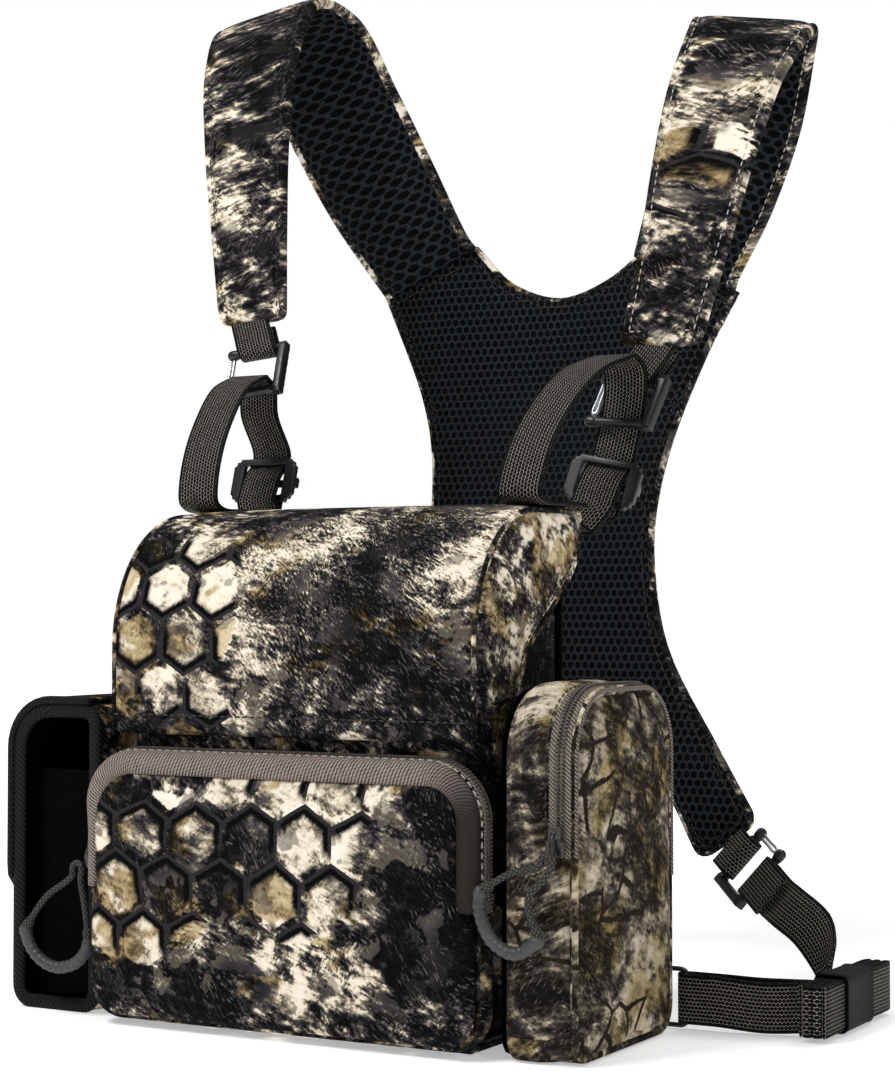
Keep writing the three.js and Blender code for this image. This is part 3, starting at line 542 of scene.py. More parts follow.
class Skin:
    """Collects quad grids into one mesh with a cloth map in millimetres. Pinned points stay put in cloth."""

    def __init__(self):
        self.bm = bmesh.new()
        self.map = self.bm.loops.layers.uv.new("Cloth")
        self.pins = self.bm.verts.layers.deform.new()

    def grid(self, points, uvs, look=0, pinned=None, wrap=False, wrap_rows=False):
        """points[row][column]; uvs has one more row or column where the grid wraps.

        look and pinned may be functions of row and column."""
        rows, columns = len(points), len(points[0])
        made = [[self.bm.verts.new(p) for p in row] for row in points]
        if pinned:
            for i, row in enumerate(made):
                for j, vert in enumerate(row):
                    vert[self.pins][0] = float(pinned(i, j))
        for i in range(rows if wrap_rows else rows - 1):
            for j in range(columns if wrap else columns - 1):
                a, b = (i + 1) % rows, (j + 1) % columns
                face = self.bm.faces.new((made[i][j], made[i][b], made[a][b], made[a][j]))
                face.material_index = look(i, j) if callable(look) else look
                face.smooth = True
                corners = ((i, j), (i, j + 1), (i + 1, j + 1), (i + 1, j))
                for loop, (row, column) in zip(face.loops, corners):
                    loop[self.map].uv = uvs[row][column][:2]
        return made

    def sheet(self, rows, columns, place, look=0, pinned=None):
        """A grid from place(row, column), which gives a point and its place on the cloth map."""
        made = [[place(i, j) for j in range(columns)] for i in range(rows)]
        points = [[point for point, _ in row] for row in made]
        self.grid(points, [[uv for _, uv in row] for row in made], look, pinned)
        return points

    def loft(self, rings, girth, lengths, look=0, closed=False):
        """Closed rings of points, one after another, with flat ends unless the rings close on themselves."""
        uvs = [[(u, v) for u in girth] for v in lengths]
        made = self.grid(rings, uvs, look, wrap=True, wrap_rows=closed)
        if not closed:
            for ring, place in ((made[0], lengths[0]), (made[-1], lengths[-1])):
                face = self.bm.faces.new(ring)
                face.material_index = look(0, 0) if callable(look) else look
                middle = sum((v.co for v in ring), Vector()) / len(ring)
                for loop in face.loops:
                    away = loop.vert.co - middle
                    loop[self.map].uv = (away.x + away.y, place + away.z)
        return made

    def build(self, name, looks, weld=0.02):
        bmesh.ops.remove_doubles(self.bm, verts=self.bm.verts, dist=weld)
        bmesh.ops.recalc_face_normals(self.bm, faces=self.bm.faces)
        bmesh.ops.scale(self.bm, vec=(MM, MM, MM), verts=self.bm.verts)
        mesh = bpy.data.meshes.new(name)
        self.bm.to_mesh(mesh)
        self.bm.free()
        piece = bpy.data.objects.new(name, mesh)
        piece.vertex_groups.new(name="pins")
        bpy.context.collection.objects.link(piece)
        for look in looks:
            mesh.materials.append(LOOKS[look])
        return piece


def face_out(piece, near, way):
    """Turns an open sheet's faces so that the one nearest to `near` looks along `way`."""
    near = Vector(near) * MM
    face = min(piece.data.polygons, key=lambda f: (f.center - near).length)
    if face.normal.dot(Vector(way)) < 0:
        piece.data.flip_normals()


def apply(piece):
    graph = bpy.context.evaluated_depsgraph_get()
    shaped = piece.evaluated_get(graph)
    mesh = bpy.data.meshes.new_from_object(shaped, preserve_all_data_layers=True, depsgraph=graph)
    piece.modifiers.clear()
    piece.data = mesh
    return piece


def subdivide(piece):
    piece.modifiers.new("Subdivision", "SUBSURF").levels = 1
    return apply(piece)


def thicken(piece, thick, inner_look):
    """Gives an open sheet an inside, `thick` millimetres in from its outer face."""
    solid = piece.modifiers.new("Solidify", "SOLIDIFY")
    solid.thickness = thick * MM
    solid.offset = -1
    solid.use_even_offset = True
    solid.material_offset = inner_look
    return apply(piece)


CLOTH = {"quality": 5, "mass": 0.15, "tension_stiffness": 8, "compression_stiffness": 8, "shear_stiffness": 4,
         "bending_stiffness": 0.3, "vertex_group_mass": "pins", "use_pressure": True,
         "uniform_pressure_force": 4}
CLOTH_FRAMES = 20


def inflate(piece, cap):
    """Blows a closed piece up between its pinned seams.

    cap(point, normal) gives how far a point may move, in millimetres."""
    rest = [v.co.copy() for v in piece.data.vertices]
    normals = [v.normal.copy() for v in piece.data.vertices]
    cloth = piece.modifiers.new("Cloth", "CLOTH")
    for key, value in CLOTH.items():
        setattr(cloth.settings, key, value)
    cloth.settings.effector_weights.gravity = 0
    cloth.collision_settings.use_collision = False
    cloth.point_cache.frame_start = 1
    cloth.point_cache.frame_end = CLOTH_FRAMES
    scene = bpy.context.scene
    for number in range(1, CLOTH_FRAMES + 1):
        scene.frame_set(number)
    blown = piece.evaluated_get(bpy.context.evaluated_depsgraph_get())
    moved = [v.co.copy() for v in blown.data.vertices]
    piece.modifiers.clear()
    scene.frame_set(1)
    for vert, start, end, normal in zip(piece.data.vertices, rest, moved, normals):
        step = end - start
        most = cap(start / MM, normal) * MM
        if step.length > 1e-9:
            # A soft limit, so that a capped panel stays crowned and doesn't turn flat.
            step *= most * math.tanh(step.length / most) / step.length if most else 0
        vert.co = start + step
    piece.data.update()
    return piece


def dress(piece, body, nodes=()):
    """The piece rides on a body and stands for CAD nodes."""
    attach(piece, body)
    if nodes:
        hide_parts(*([nodes] if isinstance(nodes, str) else nodes))
    return piece


def spline(points, per_span):
    """A centripetal Catmull-Rom curve through the points."""
    points = [Vector(p) for p in points]
    ends = [2 * points[0] - points[1], *points, 2 * points[-1] - points[-2]]
    made = []
    for k in range(len(points) - 1):
        a, b, c, d = ends[k:k + 4]
        ab, bc, cd = (max((q - p).length ** 0.5, 1e-3) for p, q in ((a, b), (b, c), (c, d)))
        start = ((b - a) / ab - (c - a) / (ab + bc) + (c - b) / bc) * bc
        stop = ((c - b) / bc - (d - b) / (bc + cd) + (d - c) / cd) * bc
        for step in range(per_span):
            t = step / per_span
            t2, t3 = t * t, t * t * t
            made.append((2 * t3 - 3 * t2 + 1) * b + (t3 - 2 * t2 + t) * start
                        + (3 * t2 - 2 * t3) * c + (t3 - t2) * stop)
    return made + [points[-1]]


def lengths_along(points, start=0.0):
    total, made = start, [start]
    for a, b in zip(points, points[1:]):
        total += (b - a).length
        made.append(total)
    return made


def tangents(points, closed=False):
    last = len(points) - 1
    made = []
    for i in range(len(points)):
        before = points[i - 1] if i or closed else points[i]
        after = points[(i + 1) % len(points)] if i < last or closed else points[i]
        made.append((after - before).normalized())
    return made


STRAP_TOP = ((-0.97, 0.5), (-0.5, 0.5), (0, 0.5), (0.5, 0.5), (0.97, 0.5), (1.0, 0.3))
STRAP_EDGE = STRAP_TOP + tuple((x, -y) for x, y in STRAP_TOP[::-1]) + ((-1.0, -0.3), (-1.0, 0.3))


def ribbon(skin, stations, thick=1.5, per_span=6, start=0.0, look=0, closed=False):
    """A flat band with soft edges through stations of (point, half its width as a vector)."""
    centre = spline([s[0] for s in stations], per_span)
    across = spline([s[1] for s in stations], per_span)
    if closed:
        centre, across = centre[:-1], across[:-1]
    rings = []
    for at, wide, along in zip(centre, across, tangents(centre, closed)):
        up = along.cross(wide).normalized() * thick
        rings.append([at + wide * x + up * y for x, y in STRAP_EDGE])
    half = across[0].length
    girth = [x * half for x, _ in STRAP_EDGE] + [-half]
    lengths = lengths_along(centre + centre[:1] if closed else centre, start)
    skin.loft(rings, girth, lengths, look, closed)
    return centre, across


def sweep(skin, points, radius, sides=12, look=0, round_ends=True):
    """A round cord; radius is a number or a function of the share of the way along."""
    lengths = lengths_along(points)
    along = tangents(points)
    side = along[0].orthogonal().normalized()
    dome = [(math.sin(a), math.cos(a)) for a in map(math.radians, (75, 50, 25))] if round_ends else []
    rings, places = [], []

    def ring(at, size):
        up = direction.cross(side)
        return [at + (side * math.cos(a) + up * math.sin(a)) * size
                for a in (math.tau * k / sides for k in range(sides))]

    for k, (at, direction, length) in enumerate(zip(points, along, lengths)):
        side = (side - direction * side.dot(direction)).normalized()
        size = radius(length / lengths[-1]) if callable(radius) else radius
        if k == 0:
            for out, wide in dome:
                rings.append(ring(at - direction * size * out * 0.8, size * wide))
                places.append(length - size * out)
        rings.append(ring(at, size))
        places.append(length)
        if k == len(points) - 1:
            for out, wide in reversed(dome):
                rings.append(ring(at + direction * size * out * 0.8, size * wide))
                places.append(length + size * out)
    girth_size = math.tau * (radius(0.5) if callable(radius) else radius)
    skin.loft(rings, [girth_size * k / sides for k in range(sides + 1)], places, look)


def rounded(x0, x1, y0, y1, radii, step=4.0, corner_steps=6):
    """A closed outline of (point, outward normal) pairs, counter-clockwise from the low left corner."""
    corners = ((x0, y0, 1, 1, radii[0], 180), (x1, y0, -1, 1, radii[1], 270),
               (x1, y1, -1, -1, radii[2], 0), (x0, y1, 1, -1, radii[3], 90))
    arcs = []
    for x, y, sx, sy, radius, start in corners:
        middle = Vector((x + sx * radius, y + sy * radius))
        arc = []
        for k in range(corner_steps + 1):
            turn = math.radians(start + 90 * k / corner_steps)
            out = Vector((math.cos(turn), math.sin(turn)))
            arc.append((middle + out * radius, out))
        arcs.append(arc)
    made = []
    for k, arc in enumerate(arcs):
        made += arc
        here, there = arc[-1], arcs[(k + 1) % 4][0]
        count = int((there[0] - here[0]).length / step)
        made += [(here[0].lerp(there[0], i / (count + 1)), here[1]) for i in range(1, count + 1)]
    return made


def band(skin, outline, place, section, look=0, closed=True):
    """Sweeps a section of (outward, deep) offsets along an outline; place(x, y, deep) puts a point in space.

    The section may be a function of the outline's point."""
    rings = []
    for point, out in outline:
        offsets = [Vector(s) for s in (section(point) if callable(section) else section)]
        rings.append([place(point.x + out.x * o, point.y + out.y * o, deep) for o, deep in offsets])
    girth = lengths_along(offsets + offsets[:1])
    middle = girth[-1] / 2
    girth = [g - middle for g in girth]
    flat = [p for p, _ in outline]
    lengths = lengths_along(flat + flat[:1] if closed else flat)
    skin.loft(rings, girth, lengths, look, closed)


def oval(wide, deep, middle=(0, 0), sides=14):
    """An oval section; wide and deep are its half sizes."""
    turns = [math.tau * k / sides for k in range(sides)]
    return [(middle[0] + wide * math.cos(a), middle[1] + deep * math.sin(a)) for a in turns]


def slab(name, low, high, round_off, look):
    """A block with rounded edges and a cloth map from its faces' own directions."""
    low, high, divide = Vector(low), Vector(high), 12.0
    bm = bmesh.new()
    bmesh.ops.create_cube(bm, size=1)
    size = high - low
    for vert in bm.verts:
        vert.co = Vector((vert.co[k] + 0.5) * size[k] + low[k] for k in range(3))
    bmesh.ops.bevel(bm, geom=bm.edges, offset=round_off, segments=3, affect="EDGES", profile=0.5)
    mapped = bm.loops.layers.uv.new("Cloth")
    for axis in range(3):
        count = int(size[axis] / divide)
        normal = Vector(float(k == axis) for k in range(3))
        for k in range(1, count):
            cut = normal * (low[axis] + k * size[axis] / count)
            geometry = bm.verts[:] + bm.edges[:] + bm.faces[:]
            bmesh.ops.bisect_plane(bm, geom=geometry, plane_co=cut, plane_no=normal)
    for face in bm.faces:
        face.smooth = True
        away = [abs(n) for n in face.normal]
        dropped = away.index(max(away))
        kept = [axis for axis in range(3) if axis != dropped]
        for loop in face.loops:
            loop[mapped].uv = [loop.vert.co[axis] for axis in kept]
    bmesh.ops.scale(bm, vec=(MM, MM, MM), verts=bm.verts)
    mesh = bpy.data.meshes.new(name)
    bm.to_mesh(mesh)
    bm.free()
    mesh.materials.append(LOOKS[look])
    piece = bpy.data.objects.new(name, mesh)
    bpy.context.collection.objects.link(piece)
    return piece


def at_length(spot, lengths, points):
    """The point at a length along a line; points is an array with a row for each point."""
    return Vector([np.interp(spot, lengths, points[:, k]) for k in range(points.shape[1])])


def nearest(lengths, spot):
    return min(range(len(lengths)), key=lambda k: abs(lengths[k] - spot))


def stitches(name, seams, body, look="dark_thread", length=2.3, gap=1.2, width=0.42):
    """Rows of stitches along seams: each seam is a list of points on the surface with the way out of it."""
    skin = Skin()

    def thick(share):
        return width * (0.62 + 0.38 * math.sin(math.pi * share))

    for points, outs in seams:
        lengths = lengths_along(points)
        points, outs = np.array(points), np.array(outs)
        for k in range(max(1, int(lengths[-1] / (length + gap)))):
            begin = k * (length + gap) + gap / 2
            curve = []
            for share, lift in ((0, -0.25), (0.5, 0.28), (1, -0.25)):
                spot = begin + length * share
                out = at_length(spot, lengths, outs).normalized()
                curve.append(at_length(spot, lengths, points) + out * width * lift)
            sweep(skin, spline(curve, 2), thick, 6, 0, False)
    return dress(skin.build(name, [look], weld=0.0001), body)


# Main pouch. The driving sizes repeat those of the CAD model.

MAIN = {"half": 81, "front": -40.5, "rear": 33.4, "top": 198, "wall": 3, "corner": 12, "base": 4}
BACK = {"front": 38, "rear": 45.8, "half": 74, "low": 12, "panel": 37.6}
LID = {"half": 85, "front": -46.3, "rear": 46, "top": 208.8, "hem": 117, "thick": 3.4, "run": 52.3,
       "rise": 56.8}
POCKET = {"half": 90, "top": 110, "low": 3, "back": -41, "rim": -51, "corner": 22, "low_corner": 14,
          "zip": 55, "zip_y": -46.5, "slide": 62}
RIGHT = {"inner": 94, "front": -45.6, "rear": 44.3, "top": 139, "corner": 26, "seam": 125.3, "zip_x": 120.3,
         "slide": 77}
LEFT = {"inner": -98, "outer": -146, "front": -37, "rear": 40, "top": 131, "corner": 22, "flap_low": 49}


def on_xz(x, z, y):
    return Vector((x, y, z))


def on_yz(y, z, x):
    return Vector((x, y, z))


def smooth_step(t):
    t = min(1.0, max(0.0, t))
    return t * t * (3 - 2 * t)


def main_pouch():
    half, front, rear, wall, corner = (MAIN[k] for k in ("half", "front", "rear", "wall", "corner"))
    loop = rounded(-half, half, front, rear + 40, (corner, corner, 1, 1), 5)
    wrap = [(p, out) for p, out in loop if p.y <= rear]
    wrap.sort(key=lambda item: math.atan2(item[0].x, -(item[0].y - rear - 1)))
    skin = Skin()
    rings, heights = [], [4.4, 5.4, 8, *range(16, 192, 8), 192, 195, 197, 197.8]
    round_y, round_z = LID["front"] + LID["run"], LID["top"] - LID["rise"]

    def lowered(point, z):
        """The wall's top follows the lid's round front."""
        share = max(0.0, round_y - point.y) / (round_y - LID["front"] - 5.8)
        rim = round_z + (MAIN["top"] - round_z) * math.sqrt(max(0.0, 1 - share ** 2))
        return z if z < 140 else 140 + (z - 140) * (rim - 140) / (MAIN["top"] - 140)

    for z in heights:
        rise = math.sin(math.pi * (z - 4) / 194) * (1 - smooth_step((z - 100) / 40))
        edge = min(1.0, (z - 3.6) / 1.6, (198.6 - z) / 2.4)
        outer, inner = [], []
        for point, out in wrap:
            flank = abs(out.x) * max(0.0, math.sin(math.pi * (point.y - front) / (rear - front)))
            bow = 2.2 * rise * flank + 0.5 * rise * (1 - abs(out.x))
            level = lowered(point, z)
            outer.append(Vector((*(point + out * (bow - 1.5 * (1 - edge))), level)))
            inner.append(Vector((*(point + out * (bow - wall + 1.5 * (1 - edge))), level)))
        rings.append(outer + inner[::-1])
    count = len(wrap)
    flat = lengths_along([p for p, _ in wrap])
    flat = [x - flat[-1] / 2 for x in flat]
    girth = flat + [-x for x in flat] + [flat[0]]
    skin.loft(rings, girth, heights, lambda i, j: 0 if j < count - 1 or j == 2 * count - 1 else 1)
    dress(skin.build("main_wall", ["camo_body", "lining"]), "pack", "main_shell")

    base = slab("main_bottom", (-half, front, 0), (half, BACK["panel"], MAIN["base"]), 1.6, "camo_body")
    dress(base, "pack", "main_base")
    back = slab("main_back", (-half, rear + 0.35, 4.4), (half, BACK["panel"], MAIN["top"]), 1.4, "lining")
    dress(back, "pack", "main_back_panel")

    skin = Skin()
    roll = oval(1.3, 1.3, (0.2, 4.6), 8)
    outline = rounded(-half, half, front, BACK["panel"], (corner, corner, 2, 2), 6)
    band(skin, outline, lambda x, y, deep: Vector((x, y, deep)), roll)
    dress(skin.build("main_bottom_piping", ["binding"]), "pack")
    back_pad()


def crown(a, b):
    """How far a point of a panel has risen, from its distances to the two nearest seams."""
    edge = 10.0
    return math.prod(math.sqrt(max(0.0, 1 - (1 - min(1, away / edge)) ** 2)) for away in (a, b))


def pillow(skin, place, half_width, low, high, rise, columns, rows, seams=(), back=0.0):
    """A panel sewn round its edge: its face is crowned, its back is flat and lies `back` behind the edge.

    half_width(z) gives its outline."""
    heights, shares = [], []
    for k in range(rows + 1):
        t = k / rows
        heights.append(low + (high - low) * (t * 0.45 + (0.5 - 0.5 * math.cos(math.pi * t)) * 0.55))
    for k in range(columns + 1):
        turn = k / columns - 0.5
        shares.append(math.sin(math.pi * turn) * 0.4 + 2 * turn * 0.6)
    widths = [half_width(z) for z in heights]

    def face(i, j):
        x, z = shares[j] * widths[i], heights[i]
        dents = sum(0.35 * math.exp(-((z - seam) / 2.5) ** 2) for seam in seams)
        up = rise * (crown(widths[i] - abs(x), min(z - low, high - z)) - dents)
        return place(x, z, max(0.0, up)), (x, z)

    def behind(i, j):
        x, z = shares[j] * widths[i], heights[i]
        return place(x, z, -back), (x, z)

    def border(i, j):
        return i in (0, rows) or j in (0, columns) or any(abs(heights[i] - s) < 1.5 for s in seams)

    skin.sheet(rows + 1, columns + 1, face, 0, border)
    skin.sheet(rows + 1, columns + 1, behind, 1, lambda i, j: True)
    if back:
        both = (face, behind)
        for row, column in ((0, 0), (rows, columns)):
            skin.sheet(2, columns + 1, lambda deep, k: both[deep](row, k), 0, lambda i, j: True)
            skin.sheet(2, rows + 1, lambda deep, k: both[deep](k, column), 0, lambda i, j: True)


def rounded_half(half, low, high, low_corner, high_corner):
    def width(z):
        inset = 0.0
        for corner, away in ((low_corner, z - low), (high_corner, high - z)):
            if away < corner:
                inset = max(inset, corner - math.sqrt(max(0.0, corner ** 2 - (corner - away) ** 2)))
        return half - inset
    return width


def back_pad():
    low, high, half = BACK["low"] + 1, MAIN["top"] - 1, BACK["half"] - 1
    skin = Skin()
    seams = (low + (high - low) / 3, low + (high - low) * 2 / 3)
    outline = rounded_half(half, low, high, 10, 10)
    pillow(skin, lambda x, z, up: Vector((x, BACK["front"] + 2.2 + up, z)), outline, low, high, 3.6, 34, 44,
           seams, 1.8)
    pad = skin.build("back_padding", ["mesh", "lining"])
    inflate(pad, lambda at, normal: 2.2 if normal.y > 0 else 0.0)
    dress(subdivide(pad), "pack", "back_pad")
    skin = Skin()
    outline = rounded(-half, half, low, high, (10, 10, 10, 10), 5)
    band(skin, outline, on_xz, oval(1.9, 1.7, (-0.3, BACK["front"] + 2.2), 10))
    dress(skin.build("back_padding_binding", ["binding"]), "pack")


# Lid

WING_LOW, HEM_STITCH = 12.5, 10  # how far above the hem the wings begin and the hem's stitches run


def lid_profile():
    """The lid's outer line in (y, z): from the hem up the front, round its curve and back to the hinge."""
    step = 4.5
    front, rear, top, hem, run, rise = (LID[k] for k in ("front", "rear", "top", "hem", "run", "rise"))
    made = [Vector((front, hem + height)) for height in (0, 4, 8, WING_LOW, 17, 21.5, 26, 30.5)]
    for k in range(20):
        turn = math.pi - math.pi / 2 * k / 20
        made.append(Vector((front + run + run * math.cos(turn), top - rise + rise * math.sin(turn))))
    flat = rear - front - run
    count = round(flat / step)
    return made + [Vector((front + run + flat * k / count, top)) for k in range(count + 1)]


def quadratic(a, b, c, t):
    return a * (1 - t) ** 2 + b * (2 * t * (1 - t)) + c * t ** 2


WING = ((-36, 129.6), (-25, 131), (-13, 135), (-6, 142), (-2, 150), (9, 160), (22, 169), (36, 180), (45, 191),
        (46.3, 200), (45.2, 208))


def wing_edge(t):
    """The wing's free edge in (y, z), for t from 0 at its low front end to 1 at the hinge."""
    line = spline([(y, z, 0) for y, z in WING], 6)
    lengths = lengths_along(line)
    return at_length(t * lengths[-1], lengths, np.array(line)[:, :2])


def lid_outs(profile):
    """The way out of the lid at each point of its profile, in (y, z)."""
    last = len(profile) - 1
    along = [(profile[min(last, k + 1)] - profile[max(0, k - 1)]).normalized() for k in range(last + 1)]
    return [Vector((-way.y, way.x)) for way in along]


def lid():
    profile = lid_profile()
    outs = lid_outs(profile)
    lid_fabric(profile, outs)
    lid_seams(profile)
    lid_piping(profile, outs)
    lid_hinge()


def lid_fabric(profile, outs):
    """The top and front in one sheet, with a wing sewn on at each side."""
    half, thick, soft, soft_run = LID["half"], LID["thick"], 2.6, 6
    columns, across = 36, 10
    lengths = lengths_along(profile)
    last, begin = len(profile) - 1, lengths.index(WING_LOW)
    hem_stitch, wing_last = nearest(lengths, HEM_STITCH), last - begin
    skin = Skin()

    def top_point(k, c):
        share = 2 * c / columns - 1
        x = half * (0.75 * share + 0.25 * math.sin(share * math.pi / 2))
        at = profile[k] - outs[k] * soft * (max(0.0, abs(x) - (half - soft_run)) / soft_run) ** 2
        return Vector((x, at.x, at.y)), (x, lengths[k])

    rows = skin.sheet(last + 1, columns + 1, top_point, 0,
                      lambda i, j: i in (0, last, hem_stitch) or j in (0, columns))
    edges = [wing_edge((length - WING_LOW) / (lengths[-1] - WING_LOW)) for length in lengths[begin:]]
    for side in (-1, 1):
        creases = [row[0 if side < 0 else -1] for row in rows[begin:]]

        def wing_point(k, c):
            share = c / across
            y, z = Vector(creases[k].yz).lerp(edges[k], share)
            belly = 1.2 * math.sin(math.pi * share) - share
            return Vector((side * (half + belly), y, z)) if c else creases[k], (side * y, z)

        skin.sheet(wing_last + 1, across + 1, wing_point, 1,
                   lambda i, j: i in (0, wing_last) or j in (0, across))
    piece = skin.build("lid_fabric", ["camo_lid", "camo_wing", "lining"], 0.3)
    face_out(piece, (0, LID["front"], 150), (0, -1, 0))
    thicken(piece, thick, 2)

    def cap(at, normal):
        behind = normal.y > 0.3 and at.y > LID["front"] + thick - 1.5
        inside = behind or normal.z < -0.3 or normal.x * at.x < 0
        return 0.5 if inside else 3.0

    inflate(piece, cap)
    dress(subdivide(piece), "lid", "lid_shell")


def lid_seams(profile):
    half = LID["half"]
    lengths = lengths_along(profile)
    begin, last = lengths.index(WING_LOW), len(profile) - 1
    y, z = profile[nearest(lengths, HEM_STITCH)]
    hem = [Vector((x * (half - 2) / 20, y - 0.35, z)) for x in range(-20, 21)]
    seams = [(hem, [Vector((0, -1, 0))] * len(hem))]
    for side in (-1, 1):
        points = []
        for k in range(2, 40):
            t = k / 41
            edge = wing_edge(t)
            crease = profile[min(last, begin + round(t * (last - begin)))]
            inner = edge.lerp(crease, min(0.5, 4.0 / max((crease - edge).length, 4.1)))
            points.append(Vector((side * (half + 0.1), inner.x, inner.y)))
        seams.append((points, [Vector((side, 0, 0))] * len(points)))
    stitches("lid_stitching", seams, "lid")


def lid_piping(profile, outs):
    skin = Skin()
    for side in (-1, 1):
        free = [Vector((side * (LID["half"] - 1.4), *wing_edge(k / 48))) for k in range(49)]
        sweep(skin, free, 1.15, 8)
        crease = [Vector((side * (LID["half"] - 1.2), *(at - out * 1.4))) for at, out in zip(profile, outs)]
        sweep(skin, crease, 0.95, 8)
    dress(skin.build("lid_piping", ["camo_body"]), "lid")


def lid_hinge():
    """A curved strip of fabric between the back panel and the lid."""
    skin = Skin()
    rise = ((41.5, 190), (43, 196), (44.4, 201), (45, 206))
    ribbon(skin, [(Vector((0, y, z)), Vector((80, 0, 0))) for y, z in rise], 1.4)
    joining = skin.build("lid_hinge_fabric", ["camo_body"])
    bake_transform(joining)


# Front pocket

def pocket_arch(step):
    """The zip's line round the pocket's face, from its low right end over the top to its low left end."""
    half, top, corner, low = POCKET["half"], POCKET["top"], POCKET["corner"], POCKET["zip"]
    rise = round((top - corner - low) / step)
    made = [(Vector((half, low + (top - corner - low) * k / rise)), Vector((1, 0))) for k in range(rise)]
    for side, start in ((1, 0), (-1, 90)):
        for k in range(13):
            turn = math.radians(start + 90 * k / 12)
            out = Vector((math.cos(turn), math.sin(turn)))
            made.append((Vector((side * (half - corner), top - corner)) + out * corner, out))
        if side > 0:
            run = round(2 * (half - corner) / step)
            made += [(Vector(((half - corner) * (1 - 2 * k / run), top)), Vector((0, 1)))
                     for k in range(1, run)]
    made += [(Vector((-half, top - corner - (top - corner - low) * k / rise)), Vector((-1, 0)))
             for k in range(1, rise + 1)]
    return made


def front_pocket():
    pocket_wall()
    pocket_cover_and_zip()
    pocket_face()


def pocket_wall():
    half, low, corner, low_corner = (POCKET[k] for k in ("half", "low", "corner", "low_corner"))
    back, rim = POCKET["back"], POCKET["rim"]
    outline = rounded(-half, half, low, POCKET["top"], (low_corner, low_corner, corner, corner), 5, 8)
    section = [(0, rim), (0.7, rim + 1.5), (1.1, rim + 4.5), (0.9, rim + 7.5), (0, back), (-2.5, back),
               (-2.2, rim + 5), (-2.5, rim)]
    skin = Skin()
    band(skin, outline, on_xz, section)
    dress(skin.build("front_pocket_wall", ["camo_body"]), "pack", "front_pocket_gusset")


def pocket_cover_and_zip():
    rim = POCKET["rim"]
    arch, zip_line = pocket_arch(2.5), pocket_arch(5)

    def rolled(point):
        """On the left the cover leaves the face and follows the side."""
        turned = smooth_step((95 - point.y) / 22) if point.x < 0 else 0.0
        middle = (-3.9 + 2.5 * turned, rim - 2.2 + 2.2 * turned)
        return oval(4.9 - 2.0 * turned, 2.7 - 0.3 * turned, middle, 18)

    skin = Skin()
    band(skin, arch, on_xz, rolled, 0, False)
    dress(skin.build("front_zip_cover_roll", ["cover"]), "pack", "front_zip_cover")
    points = [on_xz(p.x + out.x, p.y + out.y, rim - 0.6) for p, out in arch]
    outs = [Vector((out.x * 0.6, -0.8, out.y * 0.6)) for _, out in arch]
    stitches("front_pocket_stitching", [(points, outs)], "pack", "thread", 2.4, 1.5, 0.4)
    skin = Skin()
    tape = [(0.4, rim + 1.4), (1.2, rim + 1.8), (1.2, rim + 6.8), (0.4, rim + 7.2)]
    band(skin, zip_line, on_xz, tape, 0, False)
    dress(skin.build("front_zip_tape", ["tape"]), "pack")
    teeth = [on_xz(p.x + out.x * 1.7, p.y + out.y * 1.7, rim + 4.4) for p, out in zip_line]
    zip_teeth("front_zip_teeth", teeth, Vector((0, 1, 0)), "front_zip_coil")


def pocket_face():
    low, high, cover_low = POCKET["low"] + 0.6, POCKET["top"] - 7.5, POCKET["zip"] - 3
    outline = rounded_half(POCKET["half"] - 0.6, low, high, 14, POCKET["corner"] - 8)

    def width(z):
        """Narrower where the cover runs beside the face."""
        return outline(z) - 6.4 * min(1.0, max(0.0, (z - cover_low) / 6))

    def face(x, z, up):
        # On the left the face reaches round to the side, where the cover has left it.
        spare = 5.0 * smooth_step((z - cover_low) / 8) * smooth_step((104 - z) / 20)
        return Vector((x - spare * max(0.0, -x / width(z)) ** 4, POCKET["rim"] - 0.8 - up, z))

    skin = Skin()
    pillow(skin, face, width, low, high, 5.6, 44, 30)
    panel = skin.build("front_pocket_face", ["camo_front", "lining"])
    inflate(panel, lambda at, normal: 6.5 if normal.y < 0 else 0.0)
    dress(subdivide(panel), "pack", "front_pocket_panel")


def zip_teeth(name, line, way, node):
    """Two rows of small moulded teeth along a line, one on each side of it."""
    pitch, spread = 1.5, 1.875
    skin = Skin()
    lengths = lengths_along(line)
    line = np.array(line)
    for k in range(int(lengths[-1] / pitch)):
        at, ahead = (at_length((k + share) * pitch, lengths, line) for share in (0.3, 0.8))
        lean = (ahead - at).normalized() * 0.25
        for side in (-1, 1):
            root = at + way * side * spread
            tip = at + way * side * 0.35 + lean * side
            sweep(skin, [root, root.lerp(tip, 0.5), tip], 0.5, 6, 0, False)
    return dress(skin.build(name, ["teeth"], 0.0001), "pack", node)


# Side pouches

